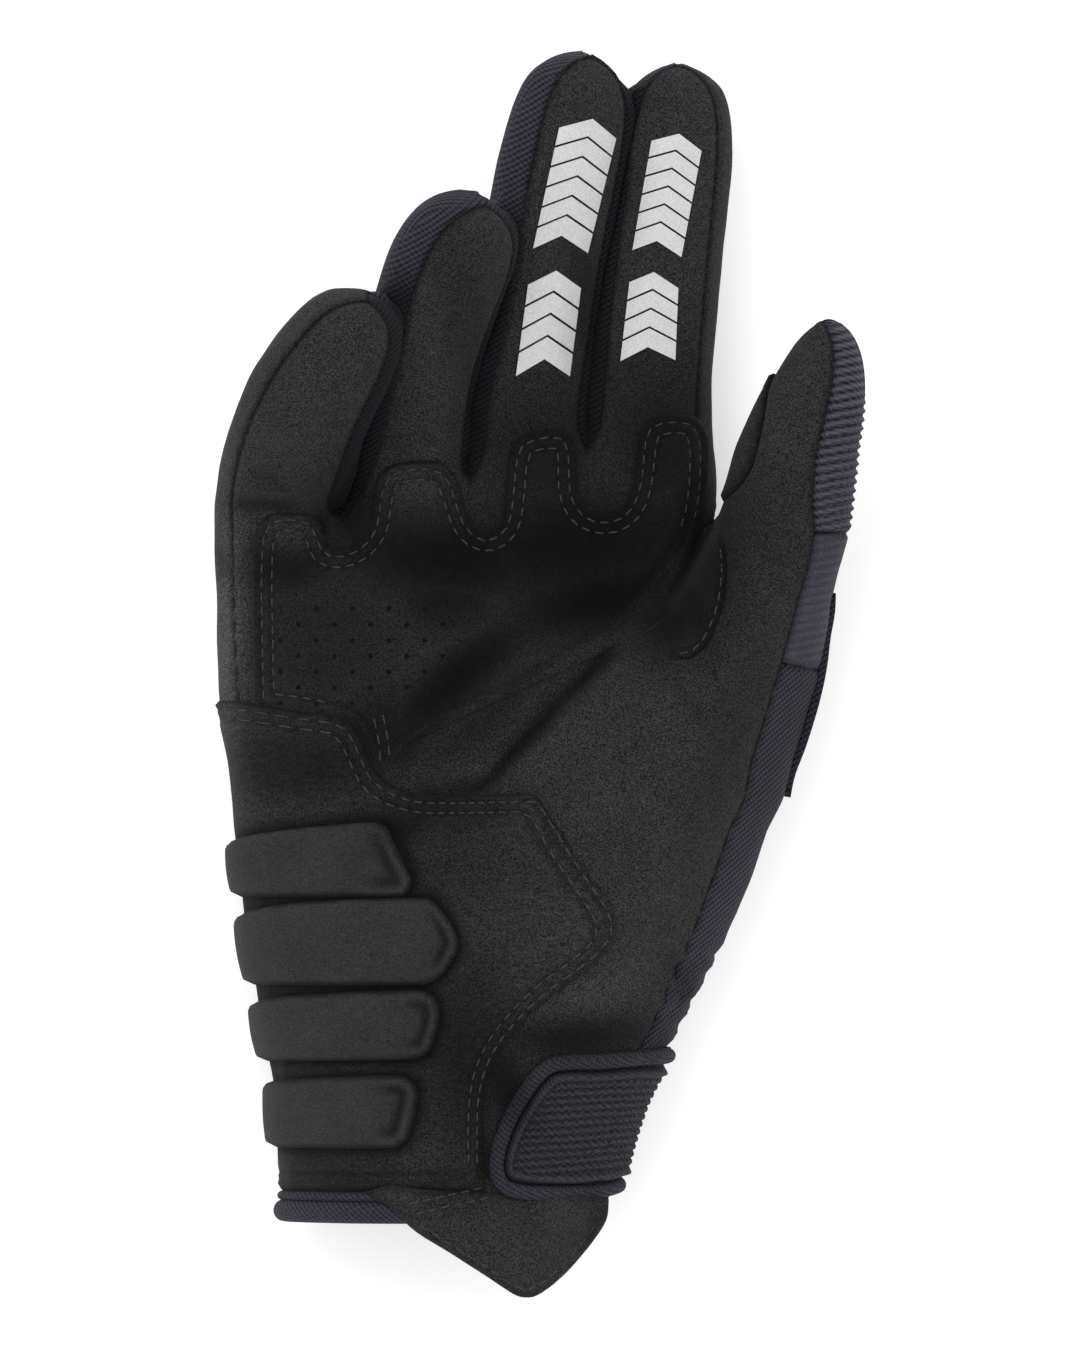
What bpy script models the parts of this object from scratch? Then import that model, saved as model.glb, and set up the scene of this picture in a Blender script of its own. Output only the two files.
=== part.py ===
"""A right-hand motorcycle glove that lies on its back, palm up.

+Y runs from the cuff to the finger tips, +X towards the thumb and +Z out of the palm. The origin is on the
surface that the glove rests on, under the middle of its box. Lengths are in metres and angles in degrees.

The sewn shell is one smooth skin that is cut into panels along its seams. Each panel is a wall with a gap to its
neighbours. Patches, pads, chevrons and the strap are laid on that skin and follow its curve.
"""

import math

import bmesh
import bpy
import numpy as np
from mathutils import Matrix, Vector
from mathutils.bvhtree import BVHTree
from mathutils.geometry import delaunay_2d_cdt

# Shell
PALM_WIDTH = 0.0990  # across the roots of the four fingers
BODY_LENGTH = 0.1430  # from the cuff's edge to the root of the middle finger
PALM_DEPTH = 0.0400  # from the back of the hand to the palm
WALL = 0.0016
SEAM_GAP = 0.0003
FINGER_GAP = 0.0007  # between fingers that lie against each other
BACK_SINK = 0.0016  # how far the back of the hand is pressed flat where it lies

# Fingers: length seen from the palm side, width, depth and how far the tip rises above the root
INDEX_LENGTH = 0.0785
INDEX_WIDTH = 0.0236
INDEX_RISE = 0.0060
MIDDLE_LENGTH = 0.0840
MIDDLE_WIDTH = 0.0256
MIDDLE_RISE = 0.0155
RING_LENGTH = 0.0625
RING_WIDTH = 0.0250
RING_RISE = 0.0330
LITTLE_LENGTH = 0.0490
LITTLE_WIDTH = 0.0262
LITTLE_RISE = 0.0400
FINGER_DEPTH = 0.0215
THUMB_LENGTH = 0.0642
THUMB_WIDTH = 0.0245
THUMB_DEPTH = 0.0230
THUMB_RISE = 0.0180

# Pieces laid on the shell
MIDDLE_HEIGHT = 0.40  # height of the hand's middle line, as a share of PALM_DEPTH
MIDDLE_REACH = 0.75  # typical distance from that line to the skin, as a share of PALM_DEPTH
LAY_GAP = 0.0003
PATCH_THICKNESS = 0.0011
PAD_THICKNESS = 0.0034
CHEVRON_THICKNESS = 0.0005
CHEVRON_PITCH = 0.0041
CHEVRON_GAP = 0.0005
CHEVRON_HALF_WIDTH = 0.0053
CHEVRON_POINT = 0.0028  # how far a chevron's middle lies ahead of its ends
STRAP_THICKNESS = 0.0024
BINDING_WIDTH = 0.0027
BINDING_THICKNESS = 0.0030
CUFF_ROLL_HEIGHT = 0.0042
CUFF_ROLL_THICKNESS = 0.0036
CUFF_BACK_LIFT = 0.0015  # the cuff's back stands this far off the surface, so that its roll has room
TAB_LENGTH = 0.0185
TAB_THICKNESS = 0.0016
GUARD_THICKNESS = 0.0018
MESH_STEP = 0.0065  # spacing of the points of a laid piece
FINE_STEP = 0.0044  # the same for the small pieces
FLAT_ANGLE = 0.3  # degrees between faces that lie in one plane
SHARP_TURN = 62.0  # an outline that turns by more degrees than this keeps its corner
INNER_SPACE = 0.45  # how far inner points keep from an outline, as a share of the step
THINNEST = 0.001  # twice the area of a triangle that is too thin to keep, as a share of the squared step

# Rings of the hand from the cuff to the thumb's root. Places across are shares of PALM_WIDTH from the palm's middle
# line, places along are shares of BODY_LENGTH from the cuff, and heights are shares of PALM_DEPTH.
# The four places are the little finger's side, the thenar seam, the knit seam and the thumb's side.
# ulnar: across, along; seam: across, along; knit: across, along; thumb: across, along
HAND_RINGS = (
    (-0.366, 0.000, 0.072, 0.000, 0.232, 0.000, 0.304, 0.000),
    (-0.360, 0.110, 0.080, 0.130, 0.285, 0.150, 0.352, 0.150),
    (-0.378, 0.205, 0.132, 0.280, 0.425, 0.300, 0.512, 0.300),
    (-0.404, 0.285, 0.193, 0.420, 0.495, 0.420, 0.612, 0.420),
    (-0.424, 0.365, 0.274, 0.543, 0.545, 0.524, 0.660, 0.517),
    (-0.436, 0.445, 0.351, 0.680, 0.595, 0.643, 0.722, 0.622),
    (-0.444, 0.515, 0.411, 0.820, 0.645, 0.755, 0.774, 0.744),
)
# Heights of the same rings: little finger's edge, hypothenar, hollow, thenar seam, thenar, knit seam, sides
HAND_HEIGHTS = (
    (0.70, 0.99, 1.08, 1.00, 0.88, 0.68, 0.40),
    (0.71, 0.99, 1.04, 0.99, 0.89, 0.68, 0.38),
    (0.74, 1.03, 0.99, 1.04, 0.97, 0.70, 0.38),
    (0.76, 1.06, 0.96, 1.10, 1.05, 0.74, 0.38),
    (0.76, 1.05, 0.92, 1.08, 1.10, 0.76, 0.38),
    (0.74, 1.00, 0.87, 0.98, 1.10, 0.78, 0.38),
    (0.72, 0.95, 0.84, 0.76, 1.02, 0.78, 0.38),
)
# Rings of the palm above the thumb: ulnar across, along; index edge across, along; index side across, along
PALM_RINGS = (
    (-0.444, 0.515, 0.411, 0.820, 0.510, 0.990),
    (-0.490, 0.655, 0.456, 0.880, 0.530, 1.000),
    (-0.512, 0.795, 0.480, 0.955, 0.530, 1.022),
)
# Heights of those rings: little finger's edge, hypothenar, hollow, index edge, index side, ulnar side
PALM_HEIGHTS = (
    (0.72, 0.95, 0.84, 0.76, 0.42, 0.38),
    (0.68, 0.88, 0.80, 0.62, 0.34, 0.38),
    (0.60, 0.80, 0.77, 0.62, 0.33, 0.36),
)
# The line where the fingers start, from the little finger's side to the index side: across, along, height
ROOT_LINE = (
    (-0.512, 0.937, 0.36),
    (-0.470, 0.940, 0.58),
    (-0.241, 0.962, 0.60),
    (0.015, 1.012, 0.60),
    (0.248, 1.058, 0.60),
    (0.482, 1.050, 0.58),
    (0.522, 1.052, 0.34),
)
ROOT_CROWN = 0.17  # how far a finger's root stands above the grooves beside it, as a share of PALM_DEPTH
EDGE_HEIGHT = 0.07  # height of the back's edges, as a share of PALM_DEPTH
EDGE_INSET = 0.05  # how far those edges lie in from the sides, as a share of PALM_WIDTH

# Stations of each finger: along and sway as shares of its length, rise as a share of its rise, width and depth
INDEX_STATIONS = (
    (0.14, -0.003, 0.10, 1.05, 1.00),
    (0.31, -0.003, 0.27, 1.05, 1.00),
    (0.49, 0.003, 0.47, 1.03, 1.00),
    (0.67, 0.010, 0.69, 1.01, 1.00),
    (0.83, 0.015, 0.86, 0.98, 0.98),
    (0.945, 0.010, 0.96, 0.78, 0.76),
)
MIDDLE_STATIONS = (
    (0.16, -0.034, 0.20, 0.98, 1.00),
    (0.33, -0.038, 0.42, 0.99, 1.00),
    (0.50, -0.041, 0.62, 1.00, 1.00),
    (0.67, -0.030, 0.78, 1.02, 1.00),
    (0.82, -0.018, 0.91, 1.01, 0.98),
    (0.935, -0.008, 0.97, 0.86, 0.76),
)
RING_STATIONS = (
    (0.19, -0.042, 0.15, 0.96, 1.02),
    (0.37, -0.080, 0.36, 0.96, 1.00),
    (0.53, -0.074, 0.55, 0.99, 1.00),
    (0.68, -0.062, 0.72, 1.05, 1.00),
    (0.81, -0.044, 0.86, 1.07, 0.98),
    (0.93, -0.010, 0.95, 0.85, 0.76),
)
LITTLE_STATIONS = (
    (0.18, -0.074, 0.26, 0.95, 1.05),
    (0.36, -0.080, 0.52, 1.03, 1.00),
    (0.53, -0.078, 0.70, 1.00, 1.00),
    (0.70, -0.032, 0.82, 0.93, 1.00),
    (0.83, -0.008, 0.92, 0.84, 0.95),
    (0.93, 0.006, 0.97, 0.64, 0.74),
)
THUMB_STATIONS = (
    (0.30, 0.030, 0.69, 1.08, 1.04),
    (0.45, 0.030, 0.80, 1.02, 1.00),
    (0.61, 0.034, 0.91, 0.93, 0.93),
    (0.77, 0.040, 0.97, 0.77, 0.82),
    (0.90, 0.030, 1.00, 0.54, 0.64),
)
TIP_REACH = 0.015  # how far a tip's points lie past its finger's length, because the smooth skin falls short of them
TIP_FRONT = 0.28  # the two tip points, as shares of the depth in front of and behind the middle
TIP_BACK = -0.22
SKIN_SPREAD = 1.10  # how far the points of a finger's ring stand out of the smooth skin

# Heading from +Y towards the thumb, and roll of the palm face towards the thumb
INDEX_HEADING, INDEX_ROLL = 4.1, 0.0
MIDDLE_HEADING, MIDDLE_ROLL = 7.9, 30.0
RING_HEADING, RING_ROLL = 14.2, 34.0
LITTLE_HEADING, LITTLE_ROLL = 20.3, 8.0
THUMB_HEADING, THUMB_ROLL = 15.5, -36.0

FACE_SPREAD = 52.0  # half the angle that a finger's face panel covers
BACK_SPREAD = 48.0

# Outlines of the pieces laid on the hand. The first column says where a point is read: on the palm, across is a share
# of PALM_WIDTH; on the ulnar or thumb side it is a height as a share of PALM_DEPTH. Along is a share of BODY_LENGTH.
PALM_PATCH = (
    ("palm", -0.417, 0.900),
    ("palm", -0.409, 0.940),
    ("palm", -0.363, 0.956),
    ("palm", -0.312, 0.944),
    ("palm", -0.280, 0.900),
    ("palm", -0.200, 0.915),
    ("palm", -0.181, 0.985),
    ("palm", -0.130, 1.028),
    ("palm", -0.060, 1.032),
    ("palm", 0.000, 0.985),
    ("palm", 0.027, 0.937),
    ("palm", 0.080, 0.950),
    ("palm", 0.105, 1.040),
    ("palm", 0.150, 1.072),
    ("palm", 0.212, 1.065),
    ("palm", 0.237, 0.972),
    ("palm", 0.285, 0.955),
    ("palm", 0.333, 0.979),
    ("palm", 0.362, 1.080),
    ("palm", 0.420, 1.100),
    ("palm", 0.476, 1.077),
    ("palm", 0.484, 1.010),
    ("palm", 0.451, 0.900),
    ("palm", 0.354, 0.822),
    ("palm", 0.223, 0.744),
    ("palm", 0.080, 0.694),
    ("palm", -0.057, 0.652),
    ("palm", -0.128, 0.630),
    ("palm", -0.180, 0.650),
    ("palm", -0.220, 0.686),
    ("palm", -0.312, 0.704),
    ("palm", -0.410, 0.706),
)
HEEL_PATCH = (
    ("ulnar", 0.16, 0.700),
    ("palm", -0.443, 0.694),
    ("palm", -0.332, 0.683),
    ("palm", -0.231, 0.669),
    ("palm", -0.188, 0.622),
    ("palm", -0.161, 0.587),
    ("palm", -0.090, 0.566),
    ("palm", 0.138, 0.569),
    ("palm", 0.223, 0.497),
    ("palm", 0.298, 0.413),
    ("palm", 0.302, 0.365),
    ("palm", 0.153, 0.273),
    ("palm", 0.082, 0.224),
    ("palm", 0.030, 0.168),
    ("palm", 0.012, 0.090),
    ("palm", 0.011, 0.016),
    ("ulnar", 0.16, 0.016),
)
STRAP = (
    ("thumb", 0.16, 0.020),
    ("thumb", 0.16, 0.215),
    ("palm", 0.274, 0.206),
    ("palm", 0.193, 0.206),
    ("palm", 0.152, 0.197),
    ("palm", 0.118, 0.168),
    ("palm", 0.082, 0.126),
    ("palm", 0.054, 0.080),
    ("palm", 0.049, 0.043),
    ("palm", 0.066, 0.016),
    ("palm", 0.112, 0.008),
    ("palm", 0.200, 0.010),
)
# The four heel pads: along of the upper and lower edge at the ulnar side, then across and along of the upper corner,
# the nose and the lower corner
HEEL_PADS = (
    (0.510, 0.420, -0.155, 0.529, -0.110, 0.460, -0.122, 0.428),
    (0.396, 0.305, -0.072, 0.422, -0.014, 0.352, -0.056, 0.308),
    (0.276, 0.192, -0.080, 0.294, -0.050, 0.262, -0.080, 0.200),
    (0.171, 0.072, -0.105, 0.170, -0.094, 0.135, -0.124, 0.082),
)
PAD_LOW = 0.24  # height at which a pad ends on the ulnar side, as a share of PALM_DEPTH
PAD_RIM = 0.55  # thickness of a pad's edge as a share of its middle
WEB_PATCH = (
    ("palm", 0.400, 0.765),
    ("palm", 0.432, 0.752),
    ("palm", 0.478, 0.770),
    ("palm", 0.512, 0.812),
    ("palm", 0.535, 0.872),
    ("palm", 0.525, 0.915),
    ("palm", 0.490, 0.880),
    ("palm", 0.450, 0.835),
)
# On the thumb: degrees round its middle line from its outer side, and along as a share of THUMB_LENGTH
THUMB_PATCH = (
    (160, 0.75),
    (128, 0.66),
    (118, 0.56),
    (119, 0.47),
    (132, 0.39),
    (158, 0.33),
    (184, 0.38),
    (194, 0.50),
    (192, 0.62),
    (182, 0.70),
)
BACK_GUARD = (
    ("thumb", 0.16, 0.575),
    ("thumb", 0.36, 0.570),
    ("thumb", 0.42, 0.660),
    ("thumb", 0.46, 0.760),
    ("thumb", 0.56, 0.850),
    ("thumb", 0.34, 0.858),
    ("thumb", 0.22, 0.760),
    ("thumb", 0.15, 0.660),
)
# The tab below the cuff: across as a share of PALM_WIDTH and reach below the cuff as a share of TAB_LENGTH
CUFF_TAB = (
    (-0.106, 0.018),
    (-0.100, 0.250),
    (0.000, 0.560),
    (0.112, 0.985),
    (0.153, 0.985),
    (0.223, 0.700),
    (0.272, 0.250),
    (0.276, 0.018),
)
# Chevrons: finger, name, first point's place along the finger, sideways place as a share of the finger's width,
# heading in degrees, how many, width share and pitch share
CHEVRON_GROUPS = (
    ("middle", "upper", 0.835, 0.18, 14.8, 6, 1.04, 1.01),
    ("middle", "lower", 0.470, 0.13, 7.8, 4, 1.00, 1.12),
    ("index", "upper", 0.805, 0.02, 11.5, 6, 0.95, 0.91),
    ("index", "lower", 0.455, -0.07, 4.6, 4, 0.95, 0.98),
)
CHEVRON_COLUMNS = (-1.0, 0.0, 1.0)
CUFF_STEPS = 26  # lengths that the cuff roll is made of
ROLL_SIDES = 8

PANELS = (
    "palm_panel",
    "thumb_panel",
    "back_panel",
    "thumb_back_panel",
    "ulnar_panel",
    "fourchette_little_ring",
    "fourchette_ring_middle",
    "fourchette_middle_index",
    "index_side_panel",
    "thumb_side_panel",
    "thumb_rib_panel",
)
SIDE_PANELS = (
    "ulnar_panel",
    "fourchette_little_ring",
    "fourchette_ring_middle",
    "fourchette_middle_index",
    "index_side_panel",
)

SUEDE = ("suede", (0.030, 0.030, 0.030), 0.95, 0.0)
PAD_SUEDE = ("pad suede", (0.036, 0.036, 0.036), 0.92, 0.0)
PATCH_SUEDE = ("patch suede", (0.020, 0.020, 0.022), 0.95, 0.0)
KNIT = ("twill knit", (0.040, 0.040, 0.050), 0.85, 0.0)
RIB_KNIT = ("rib knit", (0.048, 0.048, 0.058), 0.85, 0.0)
STRAP_WEAVE = ("strap weave", (0.032, 0.032, 0.042), 0.80, 0.0)
BINDING_KNIT = ("binding knit", (0.038, 0.038, 0.048), 0.85, 0.0)
REFLECTIVE = ("reflective film", (0.640, 0.630, 0.640), 0.45, 0.2)


def material(finish):
    """One plain material for a finish: name, colour, roughness and metallic value."""
    name, colour, roughness, metallic = finish
    if name in bpy.data.materials:
        return bpy.data.materials[name]
    made = bpy.data.materials.new(name)
    made.use_nodes = True
    shader = made.node_tree.nodes["Principled BSDF"]
    shader.inputs["Base Color"].default_value = (*colour, 1.0)
    shader.inputs["Roughness"].default_value = roughness
    shader.inputs["Metallic"].default_value = metallic
    return made


def add_object(name, points, faces, finish):
    mesh = bpy.data.meshes.new(name)
    mesh.from_pydata([tuple(map(float, p)) for p in points], [], faces)
    mesh.materials.append(material(finish))
    mesh.shade_smooth()
    mesh.set_sharp_from_angle(angle=math.radians(50))
    made = bpy.data.objects.new(name, mesh)
    bpy.context.scene.collection.objects.link(made)
    return made


def unit(vectors):
    vectors = np.asarray(vectors, float)
    length = np.linalg.norm(vectors, axis=-1, keepdims=True)
    return vectors / np.maximum(length, 1e-12)


def between(low, high, share):
    return low + (high - low) * share


def smooth_through(knots, values, places):
    """Values of a smooth curve through the knots, with no overshoot at its ends."""
    knots, values = np.asarray(knots, float), np.asarray(values, float)
    slopes = np.gradient(values, knots)
    made = []
    for place in places:
        i = min(max(int(np.searchsorted(knots, place)) - 1, 0), len(knots) - 2)
        step = knots[i + 1] - knots[i]
        t = (place - knots[i]) / step
        made.append(
            (2 * t**3 - 3 * t**2 + 1) * values[i]
            + (t**3 - 2 * t**2 + t) * step * slopes[i]
            + (3 * t**2 - 2 * t**3) * values[i + 1]
            + (t**3 - t**2) * step * slopes[i + 1]
        )
    return made


class Cage:
    """The coarse faces that the smooth skin is made from. Each face belongs to one panel."""

    def __init__(self):
        self.points, self.faces, self.panels = [], [], []

    def point(self, place):
        self.points.append(tuple(float(v) for v in place))
        return len(self.points) - 1

    def face(self, corners, panel):
        self.faces.append(tuple(corners))
        self.panels.append(PANELS.index(panel))

    def strip(self, low, high, panel_of, closed=True):
        """Faces between two rings. panel_of gives the panel of the face that starts at a place of the ring."""
        count = len(low)
        for i in range(count if closed else count - 1):
            j = (i + 1) % count
            self.face((low[i], low[j], high[j], high[i]), panel_of[i])


def front_heights(cage_columns, knots, heights):
    return [h * PALM_DEPTH for h in smooth_through(knots, heights, cage_columns)]


def ring_points(cage, across, along, heights, side_low, side_high, back_lift=0.0):
    """One ring of the hand: the side, the palm side from left to right, the other side, then the back."""
    first, last = across[0], across[-1]
    inset = EDGE_INSET * PALM_WIDTH
    back_across = np.clip(across[1:-1], first + inset, last - inset)
    ring = [cage.point((first, along[0], side_low))]
    ring += [cage.point(p) for p in zip(across[1:-1], along[1:-1], heights)]
    ring.append(cage.point((last, along[-1], side_high)))
    back = []
    for i, (x, y) in enumerate(zip(back_across, along[1:-1])):
        at_edge = i in (0, len(back_across) - 1)
        z = EDGE_HEIGHT * PALM_DEPTH if at_edge else -BACK_SINK
        back.append(cage.point((x, y, z + back_lift)))
    return ring + back[::-1]


def hand_ring(cage, row, high, back_lift):
    """A ring with 24 points, below the thumb's root."""
    ulnar_x, ulnar_y, seam_x, seam_y, knit_x, knit_y, thumb_x, thumb_y = (
        share * size for share, size in zip(row, (PALM_WIDTH, BODY_LENGTH) * 4)
    )
    edge_x = ulnar_x + EDGE_INSET * PALM_WIDTH * 0.8
    across = [ulnar_x, *np.linspace(edge_x, seam_x, 9), between(seam_x, knit_x, 0.5), knit_x, thumb_x]
    along = list(np.interp(across, (ulnar_x, seam_x, knit_x, thumb_x), (ulnar_y, seam_y, knit_y, thumb_y)))
    edge, hypothenar, hollow, seam, thenar, knit, side = high
    columns = across[1:-1]
    knots = (columns[0], columns[2], columns[4], columns[8], columns[9], columns[10])
    heights = front_heights(columns, knots, (edge, hypothenar, hollow, seam, thenar, knit))
    side_height = side * PALM_DEPTH
    return ring_points(cage, across, along, heights, side_height, side_height, back_lift)


def palm_ring(cage, row, high):
    """A ring with 20 points, between the thumb's root and the fingers."""
    ulnar_x, ulnar_y, edge_x, edge_y, side_x, side_y = (
        share * size for share, size in zip(row, (PALM_WIDTH, BODY_LENGTH) * 3)
    )
    little_x = ulnar_x + EDGE_INSET * PALM_WIDTH * 0.8
    across = [ulnar_x, *np.linspace(little_x, edge_x, 9), side_x]
    along = list(np.interp(across[:-1], (ulnar_x, edge_x), (ulnar_y, edge_y))) + [side_y]
    little, hypothenar, hollow, index, index_side, ulnar_side = high
    columns = across[1:-1]
    knots = (columns[0], columns[2], columns[4], columns[8])
    heights = front_heights(columns, knots, (little, hypothenar, hollow, index))
    ring = ring_points(cage, across, along, heights, ulnar_side * PALM_DEPTH, index_side * PALM_DEPTH)
    # The index side's point lies farther up than the palm, so the back's edge follows it half way.
    x, y, z = cage.points[ring[11]]
    cage.points[ring[11]] = (x, between(y, side_y, 0.5), z)
    return ring


def root_ring(cage):
    """The ring that the four fingers start from, and the three web points between them."""
    line = [(x * PALM_WIDTH, y * BODY_LENGTH, z * PALM_DEPTH) for x, y, z in ROOT_LINE]
    front, back = [], []
    for i in range(1, len(line) - 1):
        front.append(line[i])
        if i < len(line) - 2:
            middle = np.add(line[i], line[i + 1]) / 2
            front.append((middle[0], middle[1], middle[2] + ROOT_CROWN * PALM_DEPTH))
    for i, (x, y, _) in enumerate(front):
        at_edge = i in (0, len(front) - 1)
        groove = i % 2 == 0
        z = EDGE_HEIGHT * PALM_DEPTH if at_edge else (0.02 * PALM_DEPTH if groove else -BACK_SINK)
        back.append((x, y, z))
    ring = [cage.point(line[0])] + [cage.point(p) for p in front] + [cage.point(line[-1])]
    ring += [cage.point(p) for p in back[::-1]]
    webs = [ring[0]]
    for i in (2, 4, 6):
        x, y, z = np.add(front[i], back[i]) / 2
        webs.append(cage.point((x, y, z)))
    webs.append(ring[10])
    return ring, webs


class Finger:
    """A finger's middle line, frames and rings."""

    def __init__(self, root, length, width, depth, rise, heading, roll, stations):
        self.root, self.length, self.width, self.depth = np.array(root), length, width, depth
        self.roll = roll
        ahead = np.array((math.sin(math.radians(heading)), math.cos(math.radians(heading)), 0.0))
        aside = np.array((ahead[1], -ahead[0], 0.0))
        self.stations = stations
        self.centres = [self.root]
        for along, sway, lift, _, _ in stations:
            level = (along * ahead + sway * aside) * length
            self.centres.append(self.root + level + np.array((0, 0, lift * rise)))
        tip = (1 + TIP_REACH) * length * ahead
        self.centres.append(self.root + tip + np.array((0, 0, rise)))

    def frame(self, i):
        """Side and up directions at a centre, turned by the roll, which grows from the root."""
        ahead = unit(self.centres[i + 1] - self.centres[i - 1])
        side = unit(np.cross(ahead, (0, 0, 1)))
        up = np.cross(side, ahead)
        share = min(1.0, i / 2)
        turn = math.radians(self.roll * share)
        return (
            side * math.cos(turn) - up * math.sin(turn),
            up * math.cos(turn) + side * math.sin(turn),
        )

    def plan_place(self, along):
        """The middle line seen from the palm side, at a share of the finger's length."""
        shares = [0.0, *(station[0] for station in self.stations), 1.0]
        flat = np.array(self.centres)
        return np.array([np.interp(along, shares, flat[:, axis]) for axis in (0, 1)])

    def ring(self, cage, i):
        """Eight points round a centre, in the order of the root ring."""
        _, _, _, width, depth = self.stations[i - 1]
        side, up = self.frame(i)
        angles = (180, 90 + FACE_SPREAD, 90, 90 - FACE_SPREAD, 0, BACK_SPREAD - 90, -90, -90 - BACK_SPREAD)
        made = []
        for angle in angles:
            out = SKIN_SPREAD / 2 * np.array(
                (
                    math.cos(math.radians(angle)) * width * self.width,
                    math.sin(math.radians(angle)) * depth * self.depth,
                )
            )
            made.append(cage.point(self.centres[i] + side * out[0] + up * out[1]))
        return made

    def tip_points(self, cage):
        _, up = self.frame(len(self.centres) - 2)
        return [cage.point(self.centres[-1] + up * share * self.depth) for share in (TIP_FRONT, TIP_BACK)]


def add_finger(cage, root, finger, panel_of, tip_panels):
    """The rings of a finger on its root ring, and its rounded tip, whose sides meet in a short seam."""
    low = root
    for i in range(1, len(finger.centres) - 1):
        high = finger.ring(cage, i)
        if i == 1:
            middle = [cage.point(np.add(cage.points[a], cage.points[b]) / 2) for a, b in zip(low, high)]
            cage.strip(low, middle, panel_of)
            low = middle
        cage.strip(low, high, panel_of)
        low = high
    front, back = finger.tip_points(cage)
    face_panel, right_panel, back_panel, left_panel = tip_panels
    cage.face((low[1], low[2], low[3], front), face_panel)
    cage.face((low[3], low[4], low[5], back, front), right_panel)
    cage.face((low[5], low[6], low[7], back), back_panel)
    cage.face((low[7], low[0], low[1], front, back), left_panel)


def hand_cage():
    cage = Cage()
    lifts = [BACK_SINK + CUFF_BACK_LIFT] + [0.0] * (len(HAND_RINGS) - 1)
    hand = [hand_ring(cage, row, high, lift) for row, high, lift in zip(HAND_RINGS, HAND_HEIGHTS, lifts)]
    back = ["back_panel"]
    lower = ["ulnar_panel"] + ["thumb_panel"] * 10 + ["thumb_side_panel"] * 2 + back * 10 + ["ulnar_panel"]
    for low, high in zip(hand, hand[1:]):
        cage.strip(low, high, lower)

    palm = [palm_ring(cage, row, high) for row, high in zip(PALM_RINGS[1:], PALM_HEIGHTS[1:])]
    across, along = PALM_RINGS[0][4] * PALM_WIDTH, PALM_RINGS[0][5] * BODY_LENGTH
    crotch = cage.point((across, along, PALM_HEIGHTS[0][4] * PALM_DEPTH))
    split = hand[-1][:10] + [crotch] + hand[-1][15:]
    # The back's corner of the split lies between the crotch and the back of the hand.
    corner = hand[-1][15]
    cage.points[corner] = (
        between(cage.points[corner][0], across, 0.6),
        between(cage.points[corner][1], along, 0.45),
        EDGE_HEIGHT * PALM_DEPTH,
    )
    root, webs = root_ring(cage)
    upper = ["ulnar_panel"] + ["palm_panel"] * 8 + ["index_side_panel"] * 2 + back * 8 + ["ulnar_panel"]
    rings = [split, *palm, root]
    for low, high in zip(rings, rings[1:]):
        cage.strip(low, high, upper)

    sizes = (
        (LITTLE_LENGTH, LITTLE_WIDTH, LITTLE_RISE, LITTLE_HEADING, LITTLE_ROLL, LITTLE_STATIONS),
        (RING_LENGTH, RING_WIDTH, RING_RISE, RING_HEADING, RING_ROLL, RING_STATIONS),
        (MIDDLE_LENGTH, MIDDLE_WIDTH, MIDDLE_RISE, MIDDLE_HEADING, MIDDLE_ROLL, MIDDLE_STATIONS),
        (INDEX_LENGTH, INDEX_WIDTH, INDEX_RISE, INDEX_HEADING, INDEX_ROLL, INDEX_STATIONS),
    )
    fingers = []
    for i, (length, width, rise, heading, roll, stations) in enumerate(sizes):
        front, behind = 1 + 2 * i, 19 - 2 * i
        base = [webs[i], *root[front : front + 3], webs[i + 1], *root[behind - 2 : behind + 1]]
        middle = np.mean([cage.points[p] for p in base], axis=0)
        finger = Finger(middle, length, width, FINGER_DEPTH, rise, heading, roll, stations)
        left, right = SIDE_PANELS[i], SIDE_PANELS[i + 1]
        panel_of = [left] + ["palm_panel"] * 2 + [right] * 2 + back * 2 + [left]
        add_finger(cage, base, finger, panel_of, ("palm_panel", right, "back_panel", left))
        fingers.append(finger)

    base = [crotch, *hand[-1][9:16]]
    middle = np.mean([cage.points[p] for p in base], axis=0)
    thumb = Finger(
        middle, THUMB_LENGTH, THUMB_WIDTH, THUMB_DEPTH, THUMB_RISE, THUMB_HEADING, THUMB_ROLL, THUMB_STATIONS
    )
    suede, knit, behind = ["thumb_panel"], ["thumb_rib_panel"], ["thumb_back_panel"]
    panel_of = suede * 3 + knit * 2 + behind * 2 + suede
    add_finger(cage, base, thumb, panel_of, ("thumb_panel", "thumb_rib_panel", "thumb_back_panel", "thumb_panel"))
    fingers.append(thumb)
    return cage, fingers


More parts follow.
